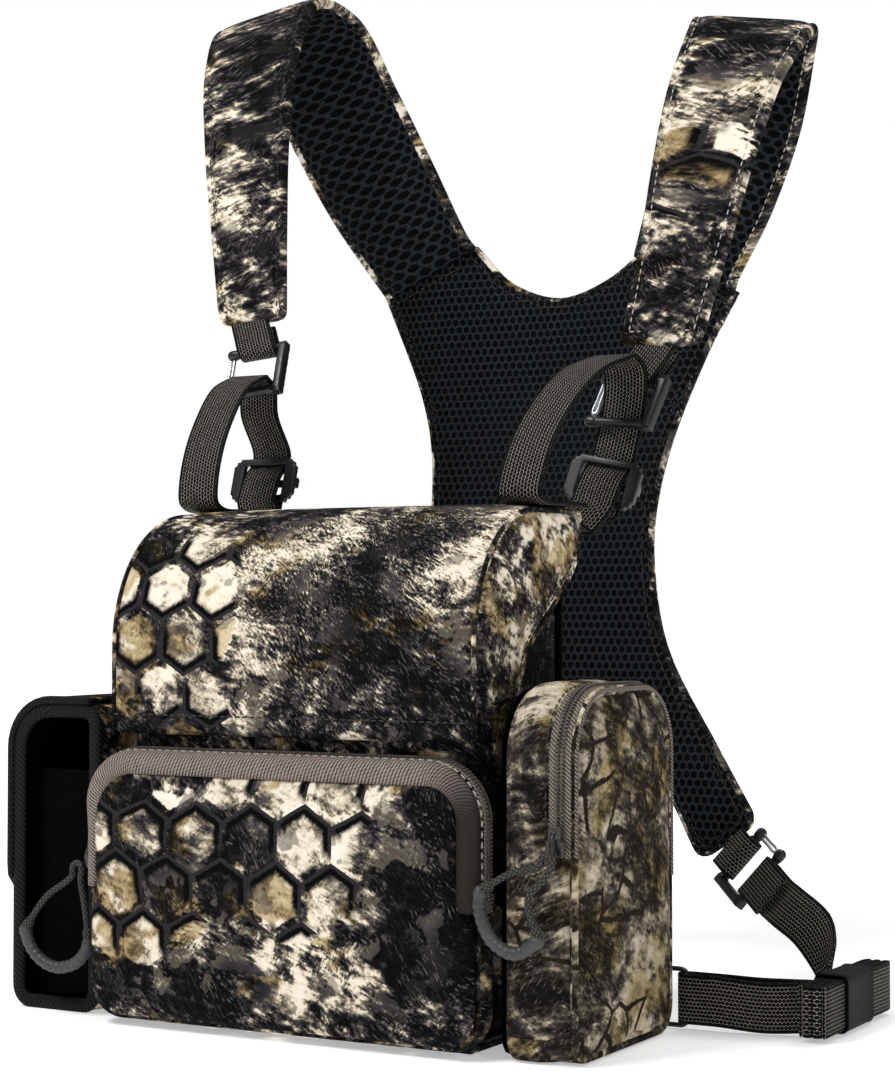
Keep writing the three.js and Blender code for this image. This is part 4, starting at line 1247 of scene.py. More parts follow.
def right_pouch():
    front, rear, top, corner = (RIGHT[k] for k in ("front", "rear", "top", "corner"))
    middle, half = (front + rear) / 2, (rear - front) / 2
    right_inner_side(middle, rounded_half(half - 0.8, 0.8, top - 0.8, 9, corner))
    radii = (9, 9, corner, corner)
    right_wall(rounded(front + 1.8, rear - 1.8, 0.4, top - 1.8, radii, 5, 8))
    arch = zip_part(rounded(front + 1.4, rear - 1.4, 0.4, top - 1.4, radii, 3, 10), 76, 60)
    right_zip(arch)
    right_outer_side(middle, rounded_half(half - 2.4, 2.6, top - 3.4, 12, corner - 2))
    skin = Skin()
    piping = rounded(front + 2.0, rear - 2.0, 1.9, top - 2.0, (10, 10, corner - 1, corner - 1), 4, 8)
    band(skin, piping, on_yz, oval(1.9, 1.5, (-0.1, RIGHT["seam"] - 0.3), 12))
    dress(skin.build("right_pouch_piping", ["camo_gusset"]), "pack")
    points = [on_yz(p.x + out.x * 1.1, p.y + out.y * 1.1, 114.3) for p, out in arch]
    seam = (points, [Vector((-0.3, out.x, out.y)) for _, out in arch])
    stitches("right_pouch_stitching", [seam], "pack", "dark_thread", 2.2, 1.3, 0.35)


def right_inner_side(middle, outline):
    skin = Skin()
    pillow(skin, lambda y, z, up: Vector((RIGHT["inner"] + 1.6 - up * 0.3, middle + y, z)), outline, 0.8,
           RIGHT["top"] - 0.8, 3, 24, 34, back=1.0)
    panel = skin.build("right_pouch_inner_side", ["lining", "lining"])
    dress(panel, "pack", "right_pouch_inner_panel")


def right_wall(outline):
    section = [(0.0, 97.2), (1.5, 98.3), (2.6, 101), (3.1, 105), (2.7, 110), (1.2, 114.2), (0.4, 115.6),
               (0.2, 120), (0.2, 124.6), (-2.4, 124.6), (-2.4, 112), (-2.2, 105), (-2.4, 97.2)]
    skin = Skin()
    band(skin, outline, lambda y, z, x: on_yz(y, max(z, 0.3), x), section)
    dress(skin.build("right_pouch_wall", ["camo_gusset"]), "pack", "right_pouch_gusset")


def right_zip(arch):
    section = [(0.25, 115.3), (0.8, 115.5), (1.3, 117.2), (1.2, 119.6), (1.2, 121.0), (1.3, 123.4),
               (0.9, 125.6), (0.0, 127.0), (-1.2, 126.6), (-1.2, 125.6)]
    skin = Skin()
    band(skin, arch, on_yz, section, 0, False)
    dress(skin.build("right_zip_tape_band", ["tape"]), "pack", "right_zip_tape")
    teeth = [on_yz(p.x + out.x * 1.75, p.y + out.y * 1.75, RIGHT["zip_x"]) for p, out in arch]
    zip_teeth("right_zip_teeth", teeth, Vector((1, 0, 0)), "right_zip_coil")


def right_outer_side(middle, outline):
    skin = Skin()
    pillow(skin, lambda y, z, up: Vector((RIGHT["seam"] + 0.4 + up, middle + y, z)), outline, 2.6,
           RIGHT["top"] - 3.4, 2.6, 30, 44, back=0.6)
    panel = skin.build("right_pouch_outer_side", ["camo_right", "lining"])
    inflate(panel, lambda at, normal: 2.2 if normal.x > 0 else 0.0)
    dress(subdivide(panel), "pack", "right_pouch_outer_panel")


def zip_part(outline, front_low, rear_low):
    """The part of a pouch's outline above its zip's ends, from the front end over the top to the rear."""
    made = [(p, out) for p, out in outline if p.y >= (front_low if out.x < 0 else rear_low)]

    def order(item):
        point = item[0]
        if point.y > front_low:
            return math.atan2(point.y - front_low + 1e-3, -point.x)
        return math.pi + (front_low - point.y) * 1e-3

    return sorted(made, key=order)


def arc(x, y, radius, start, stop, steps):
    """(point, outward normal) pairs on an arc between two angles in degrees."""
    outs = [Vector((math.cos(a), math.sin(a))) for a in
            (math.radians(start + (stop - start) * k / steps) for k in range(steps + 1))]
    return [(Vector((x, y)) + out * radius, out) for out in outs]


def between(a, b, step):
    """The pairs that lie between two others on a straight line."""
    count = int((b[0] - a[0]).length / step)
    return [(a[0].lerp(b[0], k / (count + 1)), a[1]) for k in range(1, count + 1)]


def joined(step, *arcs):
    """Arcs with straight lines between them."""
    made = list(arcs[0])
    for following in arcs[1:]:
        made += between(made[-1], following[0], step) + list(following)
    return made


FLAP_CORNER, FLAP_DEPTH = LEFT["corner"], 3.3


def left_path():
    """The left pouch's wall in (x, z): from under the flap down the outer side, along the bottom and up."""
    side, inner, roof = LEFT["outer"] + FLAP_DEPTH, LEFT["inner"], LEFT["top"] - FLAP_DEPTH
    high = FLAP_CORNER - FLAP_DEPTH
    return joined(5, arc(side + high, roof - high, high, 96, 180, 7), arc(side + 9, 9, 9, 180, 270, 6),
                  arc(inner - 9, 9, 9, 270, 360, 6), arc(inner - 9, roof - 9, 9, 0, 84, 6))


def left_pouch():
    inner, outer, front, rear, top = (LEFT[k] for k in ("inner", "outer", "front", "rear", "top"))
    roof, side = top - FLAP_DEPTH, outer + FLAP_DEPTH
    path = left_path()
    length = rear - front
    section = [(0.8 * math.sin(math.pi * (y - front) / length), y)
               for y in (-34, -30, -20, -8, 4, 16, 28, 36, 39)]
    section += [(-1, 40), (-2.2, 40)] + [(-3, y) for y in (37, 28, 16, 4, -8, -20, -30, -34)]
    outside = 10
    skin = Skin()
    band(skin, path, on_xz, section, lambda i, j: 0 if j < outside else 1, False)
    dress(skin.build("left_pouch_body", ["camo_flap", "lining"]), "pack", "left_pouch_wrap")
    high = FLAP_CORNER - FLAP_DEPTH - 2.4
    half = (inner - side) / 2 - 2.4

    def inset(z):
        away = max(0.0, z - (roof - 0.4 - high))
        return high - math.sqrt(max(0.0, high ** 2 - away ** 2))

    square = rounded_half(half, 2.6, roof - 0.4, 6.5, 0.4)
    skin = Skin()
    pillow(skin, lambda x, z, up: Vector(((inner + side + inset(z)) / 2 + x, rear - 2.2 + up, z)),
           lambda z: square(z) - inset(z) / 2, 2.6, roof - 0.4, 2.0, 18, 34, back=0.8)
    dress(skin.build("left_pouch_rear", ["camo_flap", "lining"]), "pack")
    skin = Skin()
    band(skin, path, on_xz, oval(3.2, 1.8, (-2.4, -35.5), 14))
    dress(subdivide(skin.build("left_pouch_rim", ["binding"])), "pack", "left_pouch_binding")

    skin = Skin()
    wide = (inner - side) / 2 - 3.5
    middle = (inner + side) / 2
    elastic_top = 100

    def bowed(x, z, up):
        return Vector((middle + x, -26.6 - up * 0.6 - 1.6 * (1 - (x / wide) ** 2) * (z / elastic_top), z))

    pillow(skin, bowed, rounded_half(wide, 3.5, elastic_top, 6, 0.8), 3.5, elastic_top, 1.2, 14, 30,
           (elastic_top - 9,), 0.8)
    panel = skin.build("left_pouch_elastic_panel", ["elastic", "lining"])
    dress(panel, "pack", "left_pouch_elastic")
    flap()


def flap():
    inner, outer, front, rear, top = (LEFT[k] for k in ("inner", "outer", "front", "rear", "top"))
    low, corner = LEFT["flap_low"], 9
    line = joined(5, [(Vector((inner - 6, top)), Vector((0, 1)))],
                  arc(outer + FLAP_CORNER, top - FLAP_CORNER, FLAP_CORNER, 90, 180, 9),
                  [(Vector((outer, low + 1.5)), Vector((-1, 0)))])
    lengths = lengths_along([p for p, _ in line])
    steps, last = 20, len(line) - 1

    def place(i, k):
        at, out = line[i]
        away = max(0.0, corner - (at.y - low)) if out.x < -0.99 else 0.0
        inset = 0.8 + corner - math.sqrt(corner ** 2 - away ** 2)
        y = front + inset + (rear - front - 2 * inset) * k / steps
        return Vector((at.x - out.x * 0.3, y, at.y - out.y * 0.3)), (y, lengths[i])

    skin = Skin()
    rows = skin.sheet(last + 1, steps + 1, place, 0,
                      lambda i, j: i in (0, last) or j in (0, 1, steps - 1, steps))
    piece = skin.build("left_flap_fabric", ["camo_flap", "lining"])
    face_out(piece, ((inner + outer) / 2, 0, top), (0, 0, 1))
    thicken(piece, 2.4, 1)
    inflate(piece, lambda at, normal: 1.6 if normal.z > 0.3 or normal.x < -0.3 else 0.0)
    dress(subdivide(piece), "flap", "left_flap")
    skin = Skin()
    inside = [Vector((-out.x * 1.2, 0, -out.y * 1.2)) for _, out in line]
    edge = [row[0] + lift for row, lift in zip(rows, inside)]
    edge += [at + inside[-1] for at in rows[-1][1:-1]]
    edge += [row[-1] + lift for row, lift in reversed(list(zip(rows, inside)))]
    sweep(skin, edge, 1.75, 10)
    dress(skin.build("left_flap_binding", ["binding"]), "flap")


def attach_straps():
    """Loops of webbing, sewn flat, that join each side pouch to the main pouch."""
    for side, name, inner, outer in ((1, "right", MAIN["half"] + 1.6, RIGHT["inner"] - 1.2),
                                     (-1, "left", MAIN["half"] + 1.6, -LEFT["inner"] - 1.2)):
        skin = Skin()
        middle, gap = side * (inner + outer) / 2, (outer - inner) / 2
        for k in range(3):
            low = 21 + k * 30.8
            around = rounded(-gap, gap, low, low + 29.5, (4, 4, 4, 4), 8, 4)
            stations = [(Vector((middle + p.x, 2.5, p.y)), Vector((0, 12.5, 0))) for p, _ in around]
            ribbon(skin, stations + [stations[0]], 1.5, 1, 0.0, 0, True)
        dress(skin.build(name + "_attach_loops", ["webbing"]), "pack", name + "_attach_strap")


# Zip sliders and their pulls

def fused(name, skin, look, voxel=0.4, smooth=4):
    """Joins overlapping closed parts into one skin with soft corners."""
    piece = skin.build(name, [look], 0.0001)
    piece.modifiers.new("Remesh", "REMESH").voxel_size = voxel * MM
    relax = piece.modifiers.new("Smooth", "SMOOTH")
    relax.iterations = smooth
    relax.factor = 0.5
    apply(piece)
    for face in piece.data.polygons:
        face.use_smooth = True
    return piece


def block(skin, low, high, matrix=None):
    """A plain block, for parts that fused() rounds off."""
    corners = [Vector((x, y, z)) for z in (low[2], high[2]) for y in (low[1], high[1])
               for x in (low[0], high[0])]
    if matrix:
        corners = [matrix @ c for c in corners]
    rings = [[corners[k] for k in (0, 1, 3, 2)], [corners[k] for k in (4, 5, 7, 6)]]
    skin.loft(rings, [0, 1, 2, 3, 4], [0, 1])


def slider(name, place, half, heights):
    """A wide block, a narrow one above it and a bridge. place(out, across, up) is in the frame."""
    wide_top, narrow_low, narrow_top = heights
    skin = Skin()
    block(skin, place(2.4, -half, 0), place(0, half, wide_top))
    block(skin, place(2.4, 0.9 - half, narrow_low), place(0, half - 0.9, narrow_top))
    bridge = ((1, 1.2), (4.2, 1.6), (4.6, 4), (3.4, 7.5), (1, narrow_top - 2))
    sweep(skin, spline([place(out, 0, up) for out, up in bridge], 5), 0.8, 8)
    body = name + "_slider"
    dress(fused(name + "_zip_slider", skin, "gunmetal", 0.32), body, body)


def sliders():
    coil_face, y, low = -POCKET["half"] - 1.95, POCKET["zip_y"], POCKET["slide"]
    slider("front", lambda out, across, up: Vector((coil_face - out, y + across, low + up)), 3.3, (6, 5, 11))
    face, x, start = RIGHT["front"] - 2.8, RIGHT["zip_x"], RIGHT["slide"]
    slider("right", lambda out, across, up: Vector((x + across, face - out, start + up)), 3.5, (6.5, 6, 11.4))
    grip = [(-127.2, -46.5, 35.8), (-125.6, -46.5, 28), (-119.8, -46.5, 22.2), (-111.3, -46.5, 19.5),
            (-101.8, -46.5, 22), (-96, -46.5, 28), (-95.2, -46.5, 33)]
    pull("front", Vector((coil_face - 7.6, y - 2, low - 1.5)), grip, (-116, -48, 48.5), (-96.4, -47.5, 46))
    grip = [(95.3, -58, 65.2), (94, -59, 57.9), (99.5, -60, 46.9), (109.4, -60.5, 42.6), (118.3, -60, 49.3)]
    pull("right", Vector((x, face - 8, start - 1.5)), grip, (106.5, -57.5, 71.5), (114, -59, 62.5))


def pull(name, eye, grip, left_bend, right_bend):
    """A cord from one end of a curved grip, through the slider's eye, to the grip's other end."""
    grip = [Vector(at) for at in grip]
    left, right, left_bend, right_bend = grip[0], grip[-1], Vector(left_bend), Vector(right_bend)
    cord = [left, left_bend, left.lerp(eye, 0.9), eye + Vector((-2.1, 0, 1.6)), eye + Vector((0, 0, 3)),
            eye + Vector((2.1, 0, 1.6)), right.lerp(eye, 0.86) + Vector((1, 0, 0)), right_bend, right]
    inside = [left + (left - left_bend).normalized() * 1.6, right + (right - right_bend).normalized() * 1.6]
    skin = Skin()
    sweep(skin, spline([inside[0], *cord, inside[1]], 7), 1.35, 12)
    for at, knot in ((left, left_bend), (right, right_bend)):
        way = (knot - at).normalized()
        sweep(skin, [at - way * 0.8, at + way * 0.8, at + way * 2.4], 2.2, 12)
    dress(skin.build(name + "_cord", ["cord"]), name + "_pull", name + "_pull_cord")
    skin = Skin()
    held = [inside[0], *grip[1:-1], inside[1]]

    def thick(share):
        rib = 0.16 * math.cos(math.tau * share * 15) if 0.12 < share < 0.88 else 0.0
        lip = 0.35 * math.exp(-((min(share, 1 - share) - 0.03) / 0.02) ** 2)
        return 2.5 + rib + lip

    sweep(skin, spline(held, 22), thick, 16)
    dress(skin.build(name + "_grip", ["grip"]), name + "_pull", name + "_pull_grip")


# Harness

SHOULDER = (
    # x, y, z, half width in x and z, and how far the left side hangs above the middle
    (103, 85, 289, 18.5, -0.6, 11), (111, 93.5, 334, 21, -0.5, 11), (117.5, 101, 376, 23.8, -1, 13),
    (122.5, 112, 412, 26.5, -1, 17), (126, 135, 440, 29.5, -5, 17), (117, 153, 433, 30.5, -8, 15),
    (104.6, 167, 402, 31, -10, 11), (88.8, 178, 368, 29, -12, 8), (70.5, 189.5, 334, 25.5, -11, 5),
    # The last few millimetres turn into the yoke's seam.
    (68, 192.4, 329.5, 25.6, -11.3, 5))
PAD = 7.0  # how thick the harness's pads are


def pad_section(half):
    """(across, up) round a pad's section: a rolled edge, a line of stitches, then the pad."""
    side = [(half, 0.0), (half - 0.35, 1.5), (half - 1.3, 2.6), (half - 2.7, 3.05), (half - 4.0, 2.3),
            (half - 5.3, 3.05), (half - 8.5, 3.7)]
    inner = half - 8.5
    top = side + [(inner * k / 3, 3.9) for k in (2, 1, 0, -1, -2)] + [(-x, y) for x, y in reversed(side)]
    return top + [(x, -y) for x, y in reversed(top[1:-1])]


def shoulder_strap(side, name):
    stations = [(Vector((side * x, y, z - side * hang)), Vector((wide, 0, side * tall)))
                for x, y, z, wide, tall, hang in SHOULDER]
    centre = spline([s[0] for s in stations], 14)
    across = spline([s[1] for s in stations], 14)
    along = tangents(centre)
    lengths = lengths_along(centre)
    skin = Skin()
    rings = []
    fine = 0.94
    for at, wide, way, length in zip(centre, across, along, lengths):
        half = wide.length - 4 + math.sqrt(16 - max(0.0, 4 - length - 0.4) ** 2)
        sideways = wide.normalized()
        up = way.cross(wide).normalized()
        near = min(length, lengths[-1] - length)
        slim = min(1.0, 0.45 + 0.55 * math.sqrt(max(0.0, 1 - (1 - min(1.0, near / 5)) ** 2)))
        tuck = 0.7 * math.exp(-((near - 6.5) / 1.6) ** 2)
        section = pad_section(half)
        rings.append([at + sideways * x + up * (y * fine * slim - math.copysign(tuck, y) * (abs(y) > 2))
                      for x, y in section])
    lining = range(4, len(rings[0]) // 2 - 4)
    girths = [x for x, _ in pad_section(across[0].length - 4 + math.sqrt(16 - 3.6 ** 2))]
    girths.append(girths[0])
    skin.loft(rings, girths, [side * v for v in lengths], lambda i, j: 1 if j in lining else 0)
    piece = skin.build(name + "_shoulder_pad", ["camo_strap", "mesh"])
    dress(subdivide(piece), "harness", name + "_shoulder_strap")
    seams = []
    for edge in (-1, 1):
        for face in (-1, 1):
            points, outs = [], []
            for at, wide, way, length in zip(centre, across, along, lengths):
                if 5 < length < lengths[-1] - 3:
                    up = way.cross(wide).normalized() * face
                    points.append(at + wide * edge * (1 - 4.0 / wide.length) + up * 2.35)
                    outs.append(up)
            seams.append((points, outs))
    k = nearest(lengths, 6.5)
    up = -along[k].cross(across[k]).normalized()
    seams.append(([centre[k] + across[k] * s * 0.8 + up * 2.7 for s in (-1, -0.5, 0, 0.5, 1)], [up] * 5))
    look = "thread" if side > 0 else "dark_thread"
    stitches(name + "_shoulder_stitching", seams, "harness", look, 2.2, 1.4, 0.33)


def yoke_depth(x, z):
    """The y of the yoke's inner face: it leans back, and hollows out between the shoulders."""
    hollow, rise = smooth_step((z - 190) / 90), smooth_step((z - 120) / 180)
    return 154 + (min(z, 280) - 60) * 0.125 + 9 * hollow + 6 * max(0.0, 1 - (x / 55) ** 2) * rise


def yoke_outline():
    """The outline in (x, z): round both wings from one upper corner to the other, then the neck."""
    edge = [(77, 283), (66, 253), (60.5, 224), (60, 194), (69, 151), (96, 106), (114, 78)]
    arch = [(0, 131), (25, 126), (48, 111), (72, 86), (87, 61)]

    def line(points):
        return spline([(x, z, 0) for x, z in points], 6)

    def corner(a, b, c):
        return [quadratic(Vector((*a, 0)), Vector((*b, 0)), Vector((*c, 0)), k / 5) for k in range(6)]

    def half(top):
        wing = corner((87, 61), (90, 55), (96, 58)) + corner((111, 68), (117, 72), (114, 78))
        return line(arch)[:-1] + wing + line(edge[::-1] + [(95, top)])[1:]

    left = [Vector((-p.x, p.y, 0)) for p in half(325)]
    neck = line([(44, 337), (26, 326), (0, 319), (-26, 328), (-44, 347)])
    return left[:0:-1] + half(315), neck


def edge_distance(points, outline):
    """The distance of each point to a closed outline."""
    a = np.array([(p.x, p.y) for p in outline])
    b = np.roll(a, -1, axis=0)
    best = np.full(len(points), 1e9)
    for start, stop in zip(a, b):
        run = stop - start
        t = np.clip(((points - start) @ run) / max(run @ run, 1e-9), 0, 1)
        best = np.minimum(best, np.linalg.norm(points - (start + t[:, None] * run), axis=1))
    return best


SEAMS = (((95, 315), (44, 337)), ((-95, 325), (-44, 347)))


def yoke():
    around, neck = yoke_outline()
    outline = around + neck
    skin = Skin()
    rings = [[Vector((p.x, depth, p.y)) for p in outline] for depth in (0.2, PAD - 0.2)]
    skin.loft(rings, list(range(len(outline) + 1)), [0, 1])
    piece = skin.build("yoke_pad", ["mesh", "camo_strap"], 0.01)
    piece.modifiers.new("Remesh", "REMESH").voxel_size = 2.1 * MM
    apply(piece)
    mesh = piece.data
    points = np.empty(len(mesh.vertices) * 3)
    mesh.vertices.foreach_get("co", points)
    points = points.reshape(-1, 3) / MM
    away = edge_distance(points[:, [0, 2]], outline)
    over = (points[:, 1] - PAD / 2) / (PAD / 2)
    profile = 0.3 + 0.7 * np.sqrt(1 - (1 - np.clip(away / 3.5, 0, 1)) ** 2)
    profile -= 0.22 * np.exp(-((away - 4.6) / 1.3) ** 2)
    profile += 0.08 * np.clip((away - 6) / 12, 0, 1)
    inner = []
    for (x0, z0), (x1, z1) in SEAMS:
        run = Vector((x1 - x0, z1 - z0)).normalized()
        normal = Vector((-run.y, run.x))
        signed = (points[:, 0] - x0) * normal.x + (points[:, 2] - z0) * normal.y
        inner.append(np.abs(signed + (7 if normal.y > 0 else -7)))
    for distance, side in zip(inner, (1, -1)):
        near = np.exp(-(distance / 1.6) ** 2) * (points[:, 0] * side > 20)
        profile -= 0.25 * near
    depth = np.array([yoke_depth(x, z) for x, z in points[:, [0, 2]]])
    flat = points[:, [0, 2]].copy()
    points[:, 1] = depth + PAD / 2 + over * profile * PAD / 2 * 0.97
    mesh.vertices.foreach_set("co", (points * MM).ravel())
    mesh.update()
    mapped = mesh.uv_layers.get("Cloth") or mesh.uv_layers.new(name="Cloth")
    for face in mesh.polygons:
        face.use_smooth = True
        rear = sum(over[v] for v in face.vertices) > 0.4
        face.material_index = 1 if rear else 0
        for loop in face.loop_indices:
            mapped.data[loop].uv = flat[mesh.loops[loop].vertex_index]
    dress(piece, "harness", "yoke")

    skin = Skin()
    for part in (around, neck):
        rim = [(Vector((p.x, p.y)), Vector((way.y, -way.x))) for p, way in zip(part, tangents(part))]
        band(skin, rim, lambda x, z, deep: Vector((x, yoke_depth(x, z) + PAD / 2 + deep, z)),
             oval(1.5, 2.7, (-1.2, 0), 10), 0, False)
    dress(skin.build("yoke_edge", ["camo_strap"]), "harness")

    inset = []
    for p, way in zip(outline, tangents(outline, True)):
        inset.append(Vector((p.x - way.y * 4.6, p.y + way.x * 4.6, 0)))
    seams = []
    for face in (-1, 1):
        points = [Vector((p.x, yoke_depth(p.x, p.y) + PAD / 2 + face * PAD / 2 * 0.8, p.y)) for p in inset]
        seams.append((points, [Vector((0, face, 0))] * len(points)))
    for (x0, z0), (x1, z1) in SEAMS:
        row = []
        for k in range(9):
            x, z = x0 + (x1 - x0) * (0.08 + 0.84 * k / 8), z0 + (z1 - z0) * (0.08 + 0.84 * k / 8) - 7.4
            row.append(Vector((x, yoke_depth(x, z) + 0.35, z)))
        seams.append((row, [Vector((0, -1, 0))] * 9))
    stitches("yoke_stitching", seams, "harness", "dark_thread", 2.3, 1.4, 0.36)


HOOK = {"bar": 2.1, "span": 22, "post": 11.3, "knob_x": -13.6, "knob": 2.6}


def hook_place(low, up, across):
    """The frame of a hook or triglide: bars along x, y from the lower bar to the upper one."""
    y = up.normalized()
    x = (across - y * across.dot(y)).normalized()
    z = x.cross(y)
    place = Matrix((x, y, z)).transposed().to_4x4()
    place.translation = low + y * HOOK["span"] / 2
    return place


def hook(name, place, body):
    bar, post, knob_x = HOOK["bar"], HOOK["post"], HOOK["knob_x"]
    skin = Skin()
    block(skin, (post, -13.2, -2.3), (post + 4.0, 13.2, 2.3), place)
    block(skin, (post + 0.8, -11.5, -2.6), (post + 3.2, 11.5, 2.6), place)
    for y in (-11, 11):
        rod = [place @ Vector((x, y, 0)) for x in (knob_x, -6, 0, 6, post + 2)]
        sweep(skin, rod, bar * 0.97, 16, 0, False)
        ball = [place @ Vector((knob_x + x, y, 0)) for x in (-1.0, 0.0, 1.4)]
        sweep(skin, ball, HOOK["knob"] - 0.1, 16)
        foot = [place @ Vector((post - 3.4 + 1.2 * k, y, 0)) for k in range(4)]
        sweep(skin, foot, lambda s: bar + 0.5 * s, 16, 0, False)
    dress(fused(name, skin, "plastic", 0.42), body, body)

    reach, gap, wire_radius = 7.9, 0.9, 0.78
    leg = [(gap, 1.6 - reach), (gap, 0), (gap, reach)]
    loop = [(-x, y) for x, y in leg[::-1]] + [(0, wire_radius - reach)] + leg
    skin = Skin()
    sweep(skin, spline([place @ Vector((knob_x + x, y, 0)) for x, y in loop], 6), wire_radius, 10)
    dress(skin.build(name + "_wire", ["steel"]), body + "_gate", body + "_gate")


def round_bar(bar, bar_radius, away, normal, across, first, second):
    """Stations of webbing that comes along one side of a bar, goes round it and leaves on the other side."""
    radius = bar_radius + 0.5 + 0.75
    places = [bar + away * first + normal * radius, bar + away * first / 2 + normal * radius]
    for step in range(5):
        turn = step * math.pi / 4
        places.append(bar - away * radius * math.sin(turn) + normal * radius * math.cos(turn))
    places += [bar + away * second / 2 - normal * radius, bar + away * second - normal * radius]
    return [(place, across) for place in places]


def strap_piece(name, stations, body, nodes=(), start=0.0):
    skin = Skin()
    ribbon(skin, stations, 1.5, 6, start)
    piece = skin.build(name, ["webbing"])
    if body:
        dress(piece, body, nodes)
    return piece


def triglide(name, place, body):
    """The frame lies in front of the webbing, and the webbing bulges over its middle bar."""
    wide, high, side, bar, thick, slot = 33, 20.5, 5.6, 3, 3, 1.1
    skin = Skin()
    for s in (-1, 1):
        x0, x1 = s * (wide / 2 - side / 2) - side / 2, s * (wide / 2 - side / 2) + side / 2
        inner, outer = s * (wide / 2 - side), s * (wide / 2 - 1.2)
        block(skin, (x0, -high / 2 + 3.4, slot), (x1, high / 2 - 3.4, slot + thick), place)
        low_x, high_x = sorted((inner, outer))
        block(skin, (low_x, -high / 2 + 1.4, slot), (high_x, high / 2 - 1.4, slot + thick), place)
        block(skin, (x0 + 0.8, -2.4, -slot - 1.5), (x1 - 0.8, 2.4, slot + 1), place)
        y = s * (high / 2 - bar / 2)
        block(skin, (-wide / 2 + 3.2, y - bar / 2, slot), (wide / 2 - 3.2, y + bar / 2, slot + thick), place)
    block(skin, (-wide / 2 + 1, -1.8, -slot - 1.8), (wide / 2 - 1, 1.8, -slot), place)
    dress(fused(name, skin, "plastic", 0.45, 6), body, body)


def upper_webbing(side, name):
    hang, lean = (9.5, 9) if side < 0 else (-11.5, 12)
    half = 10.0
    low = Vector((side * 92, 68.5, 257 + hang))
    place = hook_place(low, Vector((side * 2.5, lean, 19.5)), Vector((1, 0, 0)))
    hook(name + "_upper_hook_body", place, name + "_upper_hook")
    x = place.to_3x3().col[0]
    y = place.to_3x3().col[1]
    bar = low + y * HOOK["span"]
    sx, sy, sz, _, _, strap_hang = SHOULDER[0]
    away = Vector((side * sx, sy, sz - side * strap_hang)) - bar
    leg = away.length - 1.0
    away.normalize()
    tab = round_bar(bar, HOOK["bar"], away, away.cross(x).normalized(), x * half, leg, leg)
    strap_piece(name + "_strap_loop", tab, "harness", name + "_strap_webbing")

    left, right = ((-83, 67, 225), (0, 6, 20), 0), ((86, 67, 220), (4, 6, 20), -0.2)
    centre, rise, tilt = left if side < 0 else right
    centre = Vector(centre)
    grip = hook_place(centre, Vector(rise), Vector((1, 0, tilt)))
    grip.translation = centre
    triglide(name + "_triglide_frame", grip, name + "_triglide")
    flat = Vector((half, 0, 0))
    turned = grip.to_3x3().col[0] * half
    route = [(Vector((side * a, b, c)), flat) for a, b, c in (
        (78, 45.5, 210.4), (78, 26, 210.4), (77.6, 11.5, 210.6), (77.4, 5.6, 213.6), (78.2, 6.4, 221),
        (80, 13, 236), (83, 26, 252), (87, 43, 265.5), (91.5, 65, 273.2), (92.3, 72.9, 268.5),
        (92, 74.2, 256))]
    bulge = ((14, 0), (8.5, -0.2), (4.6, 2.2), (1, 4.3), (-3, 5.2), (-7, 5.8), (-11, 6.2))
    route += [(grip @ Vector((0, *p)), turned) for p in bulge]
    tail = Matrix.Rotation(-side * 0.45, 3, grip.to_3x3().col[2]) @ turned
    route += [(grip @ Vector((-side * x, y, z)), tail) for x, y, z in ((3, -16.5, 6.2), (4.2, -18.6, 6.4))]
    front = strap_piece(name + "_webbing_front", route[:9], None)
    dress(front, "harness", name + "_upper_webbing")
    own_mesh(front)
    strap_piece(name + "_webbing_rear", route[8:], "harness", start=110)

    anchor = [(grip @ Vector((0, -7.4, 0)), turned), (grip @ Vector((0, -13, -0.2)), turned),
              (Vector((side * 80, 60.5, 204)), flat), (Vector((side * 76, 56.5, 199.3)), flat),
              (Vector((side * 71, 49, 199.3)), flat), (Vector((side * 70, 42.2, 199.3)), flat)]
    piece = strap_piece(name + "_webbing_anchor", anchor, None)
    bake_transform(piece)
    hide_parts(name + "_anchor_webbing")


def lower_webbing(side, name):
    half = 10.0
    down = Vector((side * 0.66, -0.673, -0.336)).normalized()
    across = Vector((side * 0.611, 0.22, 0.76)).normalized()
    bar = Vector((side * 114.2, 145.9, 58.6))
    low = bar + down * HOOK["span"]
    place = hook_place(low, -down, -across)
    hook(name + "_lower_hook_body", place, name + "_lower_hook")
    x, y, z = (place.to_3x3().col[k] for k in range(3))
    wide = x * half
    strap_piece(name + "_wing_loop", round_bar(bar, HOOK["bar"], y, z, wide, 9, 9), "harness",
                name + "_wing_webbing")
    strap = round_bar(low, HOOK["bar"], down, z, wide, 26, 20)[::-1][:-1]
    strap += [(Vector((side * 149.5, 110, 43)), wide),
              (Vector((side * 164, 102, 35)), Vector((side * -6, -2.2, -7.4))),
              (Vector((side * 172.5, 96, 23)), Vector((side * -2.5, -1.5, -9.4))),
              (Vector((side * 175.5, 87, 13)), Vector((0, 0, -9.8)))]
    piece = strap_piece(name + "_side_strap", strap, None)
    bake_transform(piece)
    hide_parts(name + "_upper_strap")


RING = {"inner": 111, "outer": 131, "y": 49.5, "low": 0.4, "high": 24.8, "bar": 1.8}
HANK = {"x": 184, "y": 84, "z": 11, "length": 80, "pitch": 1.95, "folds": 5}
KEEPER_ENDS = (-17, 13)
UPRIGHT = Vector((0, 0, 10))


def lower_strap(side, name):
    corner_ring(side, name)
    floor_strap(side, name)
    keeper(side, name)
    corner_loop(side, name)


